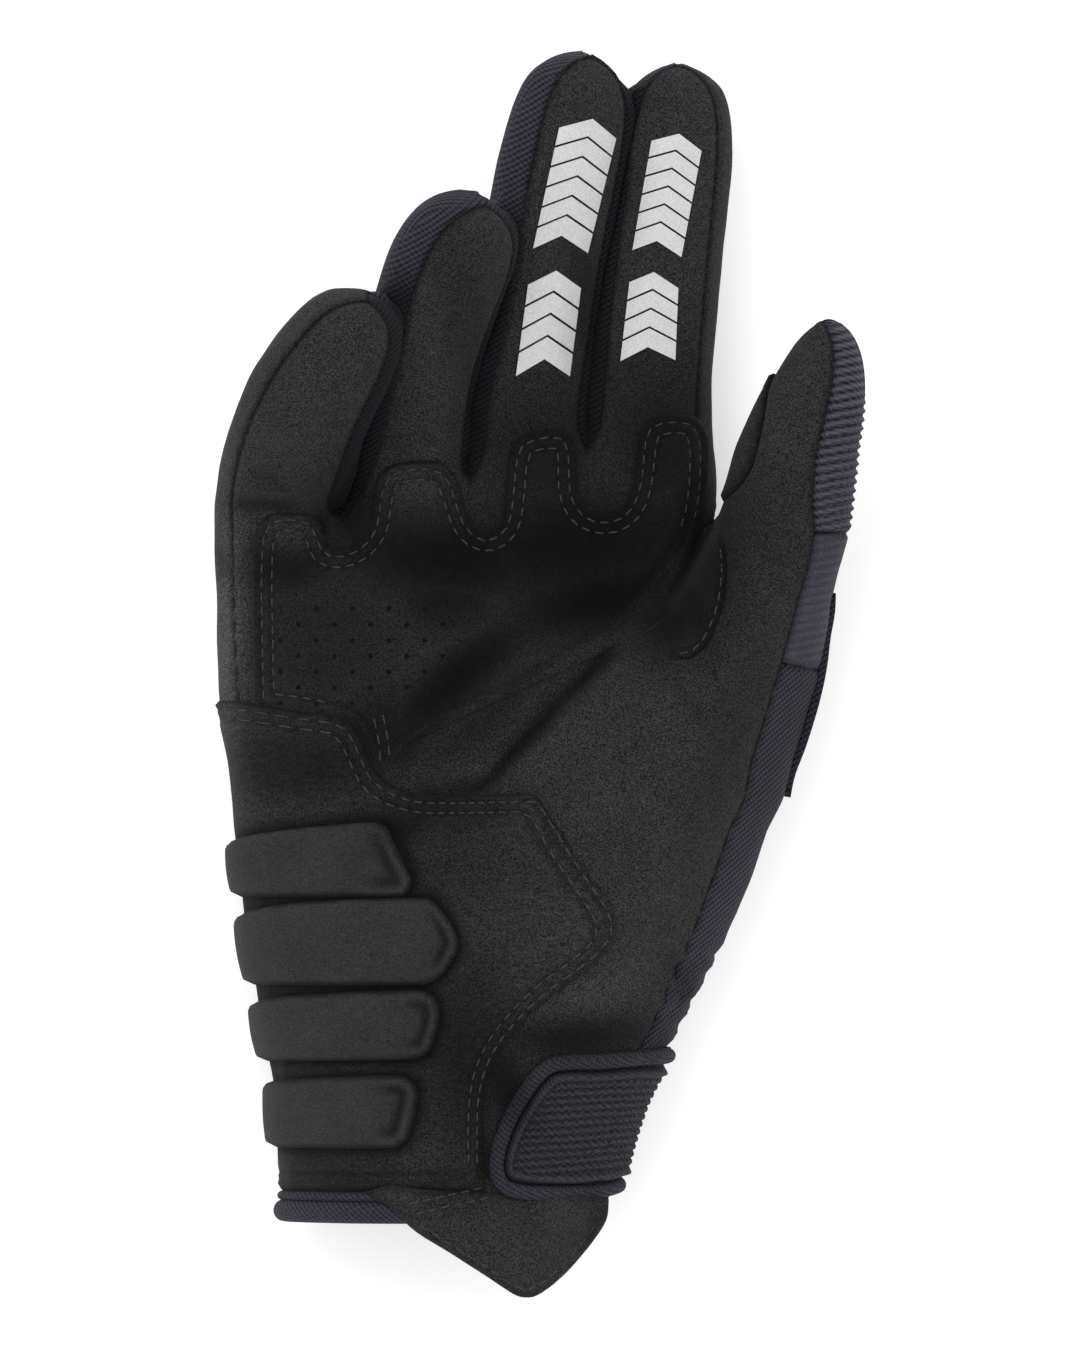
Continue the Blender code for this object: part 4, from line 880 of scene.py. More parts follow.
def laid_sheet(outline, wrap, step, profile, sink=0.0003, smoothing=4):
    """A sheet laid on the ground: points, faces and the distance of each upper point to the outline.

    profile gives the height of the upper side from the flat places and their distances to the outline.
    """
    flat, faces = filled(outline, step)
    away = line_distance(flat, outline, closed=True)
    axes = [wrap.axis(place) for place in flat]
    centres, outs = np.array([axis[0] for axis in axes]), np.array([axis[1] for axis in axes])
    found = np.array([wrap.cast(place)[0] for place in flat])
    reach = without_spikes(np.sum((found - centres) * outs, axis=1), faces)
    base = centres + outs * neighbour_mean(reach, faces, smoothing)[:, None]
    normals = unit(neighbour_mean(point_normals(base, faces), faces, 3))
    high = base + normals * profile(flat, away)[:, None]
    low = base - normals * sink
    count = len(flat)
    sides = []
    for a, b in border_loop(faces):
        sides += [(b, a, a + count), (b, a + count, b + count)]
    all_faces = np.concatenate([faces, faces[:, ::-1] + count, np.array(sides)])
    return above_floor(np.concatenate([high, low])), all_faces, away, flat


def border_loop(faces):
    directed = {(int(a), int(b)) for face in faces for a, b in zip(face, np.roll(face, -1))}
    return [(a, b) for a, b in directed if (b, a) not in directed]


def rounded_edge(away, thickness, radius):
    """Height of a sheet whose edge is rolled over."""
    share = np.clip(away / radius, 0, 1)
    return thickness * (0.25 + 0.75 * np.sqrt(np.clip(1 - (1 - share) ** 2, 0, 1)))


def groove(distance, depth, half_width):
    return -depth * bell(distance, half_width)


# Sewing


class Thread:
    """Collects stitches, each a short arched length of thread, into one piece."""

    SIDES = 6
    SECTIONS = ((0.0, -0.5), (0.12, 0.35), (0.5, 0.75), (0.88, 0.35), (1.0, -0.5))

    def __init__(self):
        self.points = []
        self.faces = []

    def stitch(self, start, end, normal):
        radius = sizes().thread_radius
        ahead = unit(end - start)
        side = unit(np.cross(ahead, normal))
        first = len(self.points)
        for share, rise in self.SECTIONS:
            centre = start + (end - start) * share + normal * rise * radius
            girth = radius * (0.55 if share in (0.0, 1.0) else 1.0)
            for k in range(self.SIDES):
                turn = 2 * math.pi * k / self.SIDES
                self.points.append(centre + (side * math.cos(turn) + normal * math.sin(turn)) * girth)
        for i in range(len(self.SECTIONS) - 1):
            for k in range(self.SIDES):
                a = first + i * self.SIDES + k
                b = first + i * self.SIDES + (k + 1) % self.SIDES
                self.faces.append((a, a + self.SIDES, b + self.SIDES, b))
        last = first + (len(self.SECTIONS) - 1) * self.SIDES
        self.faces.append(tuple(range(first, first + self.SIDES)))
        self.faces.append(tuple(reversed(range(last, last + self.SIDES))))

    def sew(self, flat_line, wrap, closed=False, sag=0.0):
        """Sews along a line of flat places."""
        pitch = sizes().stitch_pitch
        share = sizes().stitch_length / pitch
        line = even_line(np.asarray(flat_line), pitch, closed)
        ends = np.roll(line, -1, axis=0) if closed else line[1:]
        for a, b in zip(line, ends):
            start, up_start = wrap.cast(a)
            end, up_end = wrap.cast(a + (b - a) * share)
            normal = unit(up_start + up_end)
            if np.linalg.norm(end - start) < 2.5 * pitch:
                self.stitch(start - normal * sag, end - normal * sag, normal)

    def piece(self, name):
        return add_piece(name, self.points, self.faces, "thread")


def swept(path, normals, profile, closed=False):
    """A tube along a path. profile lists sideways and upward shares, in metres."""
    count, sides = len(path), len(profile)
    before = np.roll(path, 1, axis=0)
    after = np.roll(path, -1, axis=0)
    if not closed:
        before[0], after[-1] = path[0], path[-1]
    ahead = unit(after - before)
    side = unit(np.cross(ahead, normals))
    points = []
    for i in range(count):
        for across, up in profile:
            points.append(path[i] + side[i] * across + normals[i] * up)
    faces = []
    for i in range(count if closed else count - 1):
        j = (i + 1) % count
        for k in range(sides):
            m = (k + 1) % sides
            faces.append((i * sides + k, j * sides + k, j * sides + m, i * sides + m))
    if not closed:
        faces.append(tuple(range(sides)))
        faces.append(tuple(reversed(range((count - 1) * sides, count * sides))))
    return np.array(points), faces


# Materials


def node(tree, kind, values=None, **settings):
    made = tree.nodes.new(kind)
    for key, value in settings.items():
        setattr(made, key, value)
    for key, value in (values or {}).items():
        socket = made.inputs[key]
        if isinstance(value, bpy.types.NodeSocket):
            tree.links.new(value, socket)
        else:
            socket.default_value = value
    return made


def maths(tree, operation, *values, clamp=False):
    return node(tree, "ShaderNodeMath", dict(enumerate(values)), operation=operation, use_clamp=clamp).outputs[0]


def mixed(tree, factor, first, second):
    return node(tree, "ShaderNodeMix", {0: factor, 6: first, 7: second}, data_type="RGBA").outputs[2]


def product(tree, first, *others):
    for other in others:
        first = maths(tree, "MULTIPLY", first, other)
    return first


def added(tree, first, *others):
    for other in others:
        first = maths(tree, "ADD", first, other)
    return first


def rest_of(tree, value):
    """1 less the value."""
    return maths(tree, "SUBTRACT", 1.0, value)


def place_of(tree):
    return tree.nodes.new("ShaderNodeTexCoord").outputs["Object"]


def noise_of(tree, place, scale, detail=3.0, roughness=0.55):
    made = node(tree, "ShaderNodeTexNoise", {"Vector": place, "Scale": scale, "Detail": detail, "Roughness": roughness})
    return made.outputs["Fac"]


def attribute(tree, name):
    return node(tree, "ShaderNodeAttribute", attribute_name=name).outputs["Fac"]


def ranged(tree, value, low, high, to_low, to_high):
    given = {"Value": value, "From Min": low, "From Max": high, "To Min": to_low, "To Max": to_high}
    return node(tree, "ShaderNodeMapRange", given).outputs["Result"]


GROUP_OUTPUTS = (("Colour", "NodeSocketColor"), ("Roughness", "NodeSocketFloat"), ("Height", "NodeSocketFloat"))


def new_group(name, inputs):
    """An empty group with its sockets, and its input and output nodes."""
    group = bpy.data.node_groups.new(name, "ShaderNodeTree")
    for socket, kind, default in inputs:
        made = group.interface.new_socket(name=socket, in_out="INPUT", socket_type=kind)
        made.default_value = default
    for socket, kind in GROUP_OUTPUTS:
        group.interface.new_socket(name=socket, in_out="OUTPUT", socket_type=kind)
    return group, group.nodes.new("NodeGroupInput"), group.nodes.new("NodeGroupOutput")


def vector_maths(tree, operation, first, second=None):
    """One vector maths node."""
    given = {0: first} if second is None else {0: first, 1: second}
    return node(tree, "ShaderNodeVectorMath", given, operation=operation)


def kept_light(group, given, crease_share):
    """How much light the shaded places and the creases leave."""
    dark = product(group, attribute(group, "dark"), given.outputs["Shade"])
    crease = product(group, attribute(group, "crease"), crease_share)
    return product(group, rest_of(group, dark), rest_of(group, crease))


def finish_group(group, given, out, factor, roughness, height):
    """Scales the group's colour, and joins its outputs."""
    colour = node(group, "ShaderNodeVectorMath", {0: given.outputs["Colour"], "Scale": factor}, operation="SCALE")
    for name, socket in (("Colour", colour.outputs[0]), ("Roughness", roughness), ("Height", height)):
        group.links.new(socket, out.inputs[name])


def suede_group():
    """Short nap: brushed blotches and fine fibres, with painted shade in hollows and creases and painted light."""
    if "Suede nap with painted light and shade" in bpy.data.node_groups:
        return bpy.data.node_groups["Suede nap with painted light and shade"]
    group, given, out = new_group(
        "Suede nap with painted light and shade",
        (
            ("Colour", "NodeSocketColor", (0.03, 0.03, 0.03, 1)),
            ("Shade", "NodeSocketFloat", 0.75),
            ("Blotches", "NodeSocketFloat", 0.3),
            ("Streaks", "NodeSocketFloat", 0.0),
            ("Grain", "NodeSocketFloat", 1.0),
        ),
    )
    place = place_of(group)
    brushed = noise_of(group, place, 95.0, 4.0, 0.6)
    patches = noise_of(group, place, 420.0, 3.0, 0.6)
    fibres = noise_of(group, place, 2900.0, 2.0, 0.7)
    stretched = vector_maths(group, "MULTIPLY", place, (0.30, 1.0, 0.30)).outputs[0]
    streaks = noise_of(group, stretched, 1500.0, 2.0, 0.6)
    blotches = added(group, product(group, brushed, 0.55), product(group, patches, 0.45))
    tone = added(
        group,
        product(group, ranged(group, blotches, 0.3, 0.7, -1.0, 1.0), given.outputs["Blotches"]),
        product(group, ranged(group, fibres, 0.30, 0.70, -1.35, 1.35), given.outputs["Grain"]),
        product(group, ranged(group, streaks, 0.35, 0.65, -0.4, 0.4), given.outputs["Streaks"]),
        1.0,
    )
    # The colour takes the painted light and the painted shade of the shaded places and creases
    factor = product(
        group,
        maths(group, "MAXIMUM", tone, 0.2),
        added(group, attribute(group, "light"), 1.0),
        kept_light(group, given, 0.65),
    )
    height = added(group, fibres, product(group, streaks, given.outputs["Streaks"]))
    finish_group(group, given, out, factor, ranged(group, patches, 0.3, 0.7, 0.86, 1.0), height)
    return group


def weave_group():
    """Lines of knit or webbing: a main line and a cross line, with slight unevenness, and painted shade."""
    if "Thread weave with painted shade" in bpy.data.node_groups:
        return bpy.data.node_groups["Thread weave with painted shade"]
    group, given, out = new_group(
        "Thread weave with painted shade",
        (
            ("Colour", "NodeSocketColor", (0.03, 0.03, 0.04, 1)),
            ("Main line", "NodeSocketVector", (0.0, 1.0, 0.0)),
            ("Cross line", "NodeSocketVector", (1.0, 0.0, 0.0)),
            ("Contrast", "NodeSocketFloat", 0.5),
            ("Shade", "NodeSocketFloat", 0.6),
        ),
    )
    place = place_of(group)
    uneven = product(group, noise_of(group, place, 260.0, 2.0), 1.6)
    normal = node(group, "ShaderNodeNewGeometry").outputs["Normal"]

    def wave(line):
        """A sine across the surface whose rows run square to the line."""
        turns = vector_maths(group, "DOT_PRODUCT", place, line).outputs["Value"]
        angle = added(group, product(group, turns, 2 * math.pi), uneven)
        return product(group, added(group, maths(group, "SINE", angle), 1.0), 0.5)

    shares = []
    for name, share in (("Main line", 0.65), ("Cross line", 0.35)):
        line = given.outputs[name]
        way = vector_maths(group, "NORMALIZE", line).outputs[0]
        facing = maths(group, "ABSOLUTE", vector_maths(group, "DOT_PRODUCT", normal, way).outputs["Value"])
        square = vector_maths(group, "CROSS_PRODUCT", line, (1.0, 0.0, 0.0)).outputs[0]
        ahead = ranged(group, facing, 0.66, 0.78, 0.0, 1.0)
        both = added(group, product(group, wave(line), rest_of(group, ahead)), product(group, wave(square), ahead))
        shares.append(product(group, both, share))
    height = added(group, *shares)
    fibres = noise_of(group, place, 2400.0, 2.0, 0.7)
    contrast = product(group, given.outputs["Contrast"], rest_of(group, attribute(group, "plain")))
    tone = added(
        group,
        product(group, maths(group, "SUBTRACT", height, 0.5), contrast),
        product(group, maths(group, "SUBTRACT", fibres, 0.5), 1.8),
        1.0,
    )
    # The colour takes the painted shade of the shaded places and creases
    factor = product(group, maths(group, "MAXIMUM", tone, 0.12), kept_light(group, given, 0.6))
    height_out = added(group, height, product(group, fibres, 0.25))
    finish_group(group, given, out, factor, ranged(group, height, 0.0, 1.0, 0.95, 0.75), height_out)
    return group


# Knits and webbing: colour, then the group's main line and cross line in turns a metre, contrast and shade
WEAVES = {
    "twill_knit": ("twill", (-560.0, 860.0, 200.0), (1000.0, 700.0, -300.0), 1.7, 0.6),
    "rib_knit": ("rib", (-118.0, 588.0, 0.0), (900.0, 500.0, 900.0), 1.9, 0.6),
    "strap_weave": ("strap", (1050.0, 660.0, 500.0), (-1050.0, 660.0, -500.0), 0.9, 0.6),
    "binding_knit": ("binding", (700.0, 900.0, 300.0), (-1000.0, 700.0, 500.0), 1.2, 0.6),
    "thread": ("thread", (1500.0, 1500.0, 900.0), (0.0, 0.0, 900.0), 0.3, 0.2),
}
# Suedes: colour, then the group's shade, blotches, streaks and grain
SUEDES = {
    "suede": ("suede", 0.88, 0.20, 0.25, 1.0),
    "heel_suede": ("heel", 0.88, 0.16, 0.6, 0.9),
    "pad_suede": ("pad", 0.3, 0.2, 0.15, 0.45),
    "patch_suede": ("patch", 0.95, 0.16, 0.2, 0.8),
}


def material(finish):
    """The material of a finish, made once."""
    name = f"glove {finish}"
    if name in bpy.data.materials:
        return bpy.data.materials[name]
    made = bpy.data.materials.new(name)
    made.use_nodes = True
    tree = made.node_tree
    shader = tree.nodes["Principled BSDF"]
    if finish in SUEDES:
        colour, *values = SUEDES[finish]
        group, names = suede_group(), ("Shade", "Blotches", "Streaks", "Grain")
        strength, distance, sheen = 0.6, 0.00025, 0.03
    elif finish in WEAVES:
        colour, *values = WEAVES[finish]
        group, names = weave_group(), ("Main line", "Cross line", "Contrast", "Shade")
        strength, distance, sheen = 0.7, 0.00030, 0.02
    else:
        return film_material(made, shader)
    effect = node(tree, "ShaderNodeGroup", node_tree=group)
    for name, value in zip(names, values):
        effect.inputs[name].default_value = value
    effect.inputs["Colour"].default_value = (*getattr(colours(), colour), 1)
    tree.links.new(effect.outputs["Colour"], shader.inputs["Base Color"])
    tree.links.new(effect.outputs["Roughness"], shader.inputs["Roughness"])
    height = effect.outputs["Height"]
    if finish == "patch_suede":
        height = perforated(tree, shader, effect)
    bump = node(tree, "ShaderNodeBump", {"Height": height, "Strength": strength, "Distance": distance})
    tree.links.new(bump.outputs["Normal"], shader.inputs["Normal"])
    shader.inputs["Sheen Weight"].default_value = sheen
    shader.inputs["Sheen Roughness"].default_value = 0.55
    shader.inputs["Specular IOR Level"].default_value = 0.12
    return made


def perforated(tree, shader, effect):
    """Darkens small staggered holes where the palm is perforated, and returns the height with them."""
    place = node(tree, "ShaderNodeSeparateXYZ", {"Vector": place_of(tree)})
    corner = plan(HOLE_CORNER)
    nearest = None
    for shift in (0.0, 0.5):
        squares = []
        for axis, pixels, start in zip("XY", HOLE_STEPS, corner):
            pitch = pixels * PIXEL
            offset = maths(tree, "SUBTRACT", place.outputs[axis], float(start) + shift * pitch)
            share = added(tree, maths(tree, "DIVIDE", offset, pitch), 100.5)
            away = product(tree, maths(tree, "SUBTRACT", maths(tree, "FRACT", share), 0.5), pitch)
            squares.append(maths(tree, "POWER", away, 2.0))
        distance = maths(tree, "SQRT", added(tree, *squares))
        nearest = distance if nearest is None else maths(tree, "MINIMUM", nearest, distance)
    hole = product(tree, ranged(tree, nearest, *HOLE_RADII, 1.0, 0.0), attribute(tree, "holes"))
    dark = mixed(tree, hole, effect.outputs["Colour"], (0.001, 0.001, 0.001, 1))
    tree.links.new(dark, shader.inputs["Base Color"])
    return maths(tree, "SUBTRACT", effect.outputs["Height"], product(tree, hole, 3.0))


def film_material(made, shader):
    """Silver film with a fine speckle."""
    tree = made.node_tree
    place = place_of(tree)
    speckle = noise_of(tree, place, 2300.0, 2.0, 0.8)
    wear = noise_of(tree, place, 160.0, 4.0, 0.6)
    tone = added(tree, ranged(tree, speckle, 0.3, 0.7, 0.80, 1.06), ranged(tree, wear, 0.3, 0.8, 0.03, -0.05))
    scaled = node(tree, "ShaderNodeVectorMath", {0: tuple(colours().film), "Scale": tone}, operation="SCALE")
    tree.links.new(scaled.outputs[0], shader.inputs["Base Color"])
    tree.links.new(ranged(tree, speckle, 0.3, 0.7, 0.6, 0.42), shader.inputs["Roughness"])
    bump = node(tree, "ShaderNodeBump", {"Height": speckle, "Strength": 0.3, "Distance": 0.0001})
    tree.links.new(bump.outputs["Normal"], shader.inputs["Normal"])
    shader.inputs["Metallic"].default_value = 0.1
    return made


# Pieces


def set_points(mesh, points):
    mesh.vertices.foreach_set("co", points.astype(np.float32).ravel())
    mesh.update()


class GLOVE_OT_shell(bpy.types.Operator):
    """Refine the sewn panels of suede and knit"""

    bl_idname = "glove.shell"
    bl_label = "Sewn shell"

    def execute(self, context):
        panels = {cad_name: refined_panel(cad_name, splits) for cad_name, _, _, splits in SHELL}
        seams = {cad_name: seam for cad_name, (_, seam) in panels.items()}
        pieces = []
        loose = Ground()
        for cad_name, name, finish, _ in SHELL:
            mesh, seam = panels[cad_name]
            mesh.name = name
            outward, _ = side_normals(mesh, mesh_points(mesh))
            # The second value is the painted shade of the panel's seams, folds, rib valley and the knit between fingers
            moved, crease_shades = shaped(mesh, seam, sewn_deep(cad_name, seams), cad_name)
            set_points(mesh, moved)
            if cad_name == "thumb_rib_panel":
                below_ribs = 1 - smooth_step(moved[:, 1], RIB_ROWS[0] - 0.0004, RIB_ROWS[0] + 0.0004)
                set_layer(mesh, "plain", 0.8 * below_ribs)
            pieces.append((finish_piece(name, mesh, finish, (cad_name,), shades=crease_shades), outward))
            loose.add(pieces[-1][0])
        for piece, outward in pieces:
            if piece.name in TOUCHING:
                strip = piece.name.endswith("knit")
                self.lean(piece.data, mesh_points(piece.data, "normal") if strip else outward, loose)
            ground.add(piece)
        return {"FINISHED"}

    def lean(self, mesh, outward, loose):
        """Fingers that lie side by side swell until they touch."""
        points = mesh_points(mesh)
        swell = np.zeros(len(points))
        for i, (place, out) in enumerate(zip(points, outward)):
            if out @ out > 0.5 and place[1] > FINGER_START:
                hit, normal, away = loose.hit_away(place + out * 0.0001, out)
                if hit is not None and away < TOUCH_REACH[1] and float(np.array(normal) @ out) < -0.2:
                    swell[i] = (away / 2 + TOUCH_PRESS) * (1 - float(smooth_step(away, *TOUCH_REACH)))
        corners = np.zeros(len(mesh.polygons) * 4, np.int64)
        mesh.polygons.foreach_get("vertices", corners)
        corners = corners.reshape(-1, 4)
        _, rim = side_normals(mesh, points)
        swell[np.linalg.norm(rim, axis=1) > 0.5] = 0.0
        swell = neighbour_mean(swell, np.concatenate([corners[:, :3], corners[:, [2, 3, 0]]]), 5)
        set_points(mesh, points + outward * swell[:, None])


def stitch_grooves(flat, lines, closed=True):
    deep = np.zeros(len(flat))
    for line in lines:
        deep += groove(line_distance(flat, line, closed), 0.00030, 0.00075)
    return deep


def lay_patch(name, cad_names, outline, wrap, finish, insets, step=0.0009, edge=None, shadows=()):
    """A stitched suede patch and the lines that its stitches follow.

    Along the line named edge it thins to nothing, and it has painted shadow beside the outlines named shadows.
    """
    thickness = sizes().patch_thickness
    lines = [inset_line(outline, inset) for inset in insets]

    def full(flat):
        return smooth_step(line_distance(flat, edge), 0.0006, 0.0065) if edge is not None else np.ones(len(flat))

    def profile(flat, away):
        lip = 0.0003 * bell(away - 0.0008, 0.0006)
        height = rounded_edge(away, thickness, 0.0009) + lip + stitch_grooves(flat, lines)
        return height * full(flat) - 0.0003 * (1 - full(flat))

    points, faces, away, flat = laid_sheet(outline, wrap, step, profile, sink=0.0006)
    # Painted shade along the patch's edge and its stitch lines, painted shadow beside the shadows' outlines, full
    # painted shade underneath
    crease = 1.5 * np.exp(-away / 0.0005)
    for line in lines:
        crease = np.maximum(crease, 0.8 * bell(line_distance(flat, line, True), 0.0006))
    crease *= full(flat)
    for line in shadows:
        crease = np.maximum(crease, 1.3 * bell(line_distance(flat, line, True), 0.0021))
    crease = two_sided(crease, 1.0)
    piece = add_piece(name, points, faces, finish, cad_names, shades=crease)
    ground.add(piece)
    return piece, lines


def sew_lines(name, lines, wrap, closed=True):
    thread = Thread()
    for line in lines:
        thread.sew(line, wrap, closed, sag=0.00012)
    return thread.piece(name)


class GLOVE_OT_palm_patch(bpy.types.Operator):
    """Lay the stitched palm patch with its perforated field"""

    bl_idname = "glove.palm_patch"
    bl_label = "Palm patch"

    def execute(self, context):
        outline = read_outline(PALM_PATCH, ABOVE, 0.0009)
        edge = smooth_line(plan(PALM_PATCH_EDGE), 0.001, closed=False)
        piece, lines = lay_patch(
            "palm_reinforcement", ("palm_patch",), outline, ABOVE, "patch_suede", (0.0017, 0.0038), edge=edge
        )
        points = mesh_points(piece.data)
        set_layer(piece.data, "holes", inside(points[:, :2], plan(HOLE_FIELD)).astype(float))
        top = y_of(704)
        diagonal = plan(((700, 540), (400, 745)))
        way = unit(diagonal[1] - diagonal[0])
        kept = []
        for line in lines:
            offset = line - diagonal[0]
            beside = offset[:, 0] * way[1] - offset[:, 1] * way[0]
            shown = (line[:, 1] > top) & (beside > 0.004)
            kept += runs_of(line, shown)
        sew_lines("palm_patch_stitches", kept, ABOVE, closed=False)
        return {"FINISHED"}


def runs_of(line, shown):
    """The stretches of a closed line where shown is true."""
    if shown.all():
        return [np.concatenate([line, line[:1]])]
    start = int(np.argmin(shown))
    line, shown = np.roll(line, -start, axis=0), np.roll(shown, -start)
    runs, current = [], []
    for place, on in zip([*line, None], [*shown, False]):
        if on:
            current.append(place)
            continue
        if len(current) > SHORT_RUN:
            runs.append(np.array(current))
        current = []
    return runs


def pad_rows(side_top, side_low, front):
    """The outline of a heel pad, with its two corners at the side of the hand."""
    return [("ulnar", PAD_SIDE_HEIGHT, side_top), *front, ("ulnar", PAD_SIDE_HEIGHT, side_low)]


class GLOVE_OT_heel_patch(bpy.types.Operator):
    """Lay the heel patch with its double stitches"""

    bl_idname = "glove.heel_patch"
    bl_label = "Heel patch"

    def execute(self, context):
        outline = read_outline(HEEL_PATCH, HAND, 0.0010)
        pads = [read_outline(pad_rows(*pad), HAND, 0.0012) for pad in HEEL_PADS]
        _, lines = lay_patch(
            "heel_reinforcement", ("heel_patch",), outline, HAND, "heel_suede", (0.0015, 0.0035), shadows=pads
        )
        side = float(HAND.read(("ulnar", 11.0, 900))[0])
        low = y_of(1166)
        kept = []
        for line in lines:
            kept += runs_of(line, (line[:, 0] > side) & (line[:, 1] > low))
        sew_lines("heel_patch_stitches", kept, HAND, closed=False)
        return {"FINISHED"}


class GLOVE_OT_heel_pads(bpy.types.Operator):
    """Raise the four foam pads on the heel patch"""

    bl_idname = "glove.heel_pads"
    bl_label = "Heel pads"

    def execute(self, context):
        thickness = sizes().pad_thickness
        for i, (side_top, side_low, front) in enumerate(HEEL_PADS, start=1):
            outline = read_outline(pad_rows(side_top, side_low, front), HAND, 0.0008)
            nose = outline[:, 0].max()

            def profile(flat, away):
                share = np.clip(away / 0.0018, 0, 1)
                side = np.sqrt(np.clip(1 - (1 - share) ** 2, 0, 1))
                dome = 1 - np.exp(-away / 0.004)
                flange = smooth_step(flat[:, 0], nose - 0.009, nose - 0.004)
                line = bell(away - 0.0030, 0.0012) * flange
                return thickness * (0.05 + 0.72 * side + 0.23 * dome) - 0.0010 * line

            points, faces, away, flat = laid_sheet(outline, HAND, 0.0009, profile, smoothing=8)
            flange = smooth_step(flat[:, 0], nose - 0.009, nose - 0.004)
            # Painted shade in the hollow before the flange and along the pad's edge, a painted highlight on the rim
            # taken off it, full painted shade underneath
            hollow = bell(away - 0.0030, 0.0010) * flange
            rim = 0.45 * bell(away - 0.0011, 0.0005) * (0.3 + 0.7 * flange)
            crease = two_sided(np.maximum(1.5 * np.exp(-away / 0.0003), hollow) - rim, 1.0)
            pad = add_piece(f"heel_pad_cover_{i}", points, faces, "pad_suede", (f"heel_pad_{i}",), shades=crease)
        return {"FINISHED"}


class GLOVE_OT_thumb_pieces(bpy.types.Operator):
    """Lay the small patches of the thumb"""

    bl_idname = "glove.thumb_pieces"
    bl_label = "Thumb patches and guard"

    def execute(self, context):
        outline = read_outline(WEB_PATCH, ABOVE, 0.0008)
        edge = smooth_line(plan(WEB_PATCH_EDGE), 0.001, closed=False)
        _, lines = lay_patch(
            "web_reinforcement", ("web_patch",), outline, ABOVE, "patch_suede", (0.0013,), 0.0008, edge
        )
        kept = [run for line in lines for run in runs_of(line, line_distance(line, edge) > 0.004)]
        sew_lines("web_patch_stitches", kept, ABOVE, closed=False)
        length = float(np.linalg.norm(np.subtract(THUMB_AXIS[1], THUMB_AXIS[0])))
        corners = [THUMB.turned(turn, along * length) for turn, along in THUMB_PATCH]
        outline = even_line(counter_clockwise(smooth_line(corners, 0.0008)), 0.0008, closed=True)
        lay_patch("thumb_reinforcement", ("thumb_patch",), outline, THUMB, "suede", (0.0012,), 0.0008)
        return {"FINISHED"}


class GLOVE_OT_chevrons(bpy.types.Operator):
    """Lay the rows of reflective chevrons on the middle and index fingers"""

    bl_idname = "glove.chevrons"
    bl_label = "Chevrons"

    GAP = 0.12  # dark line between two chevrons, as a share of their pitch
    ACROSS, ALONG = 12, 4

    def execute(self, context):
        for name, count, *corners in CHEVRONS:
            top, low = plan(corners[:3]), plan(corners[3:])
            points, faces = [], []
            for i in range(count):
                first = len(points)
                edges = []
                for share in np.linspace(i, i + 1 - (self.GAP if i < count - 1 else 0.0), self.ALONG + 1) / count:
                    edges.append(top + (low - top) * share)
                for lift in (sizes().film_thickness, -0.0002):
                    for edge in edges:
                        for k in range(self.ACROSS + 1):
                            side = 2 * k / self.ACROSS
                            start, end, share = (*edge[:2], side) if side <= 1 else (*edge[1:], side - 1)
                            place, normal = ABOVE.cast(start + (end - start) * share)
                            points.append(place + normal * lift)
                wide = self.ACROSS + 1
                layer = wide * (self.ALONG + 1)
                corners = [row * wide + k for row in range(self.ALONG) for k in range(self.ACROSS)]
                upper = [(v, v + wide, v + wide + 1, v + 1) for v in corners]
                lower = [tuple(v + layer for v in reversed(face)) for face in upper]
                sides = [(b, a, a + layer, b + layer) for a, b in border_loop(upper)]
                faces += [tuple(v + first for v in face) for face in (*upper, *lower, *sides)]
            replaced = [f"chevron_{name}_{i + 1}" for i in range(count)]
            add_piece(f"chevrons_{name}", points, faces, "reflective_film", replaced, smooth=False)
        return {"FINISHED"}


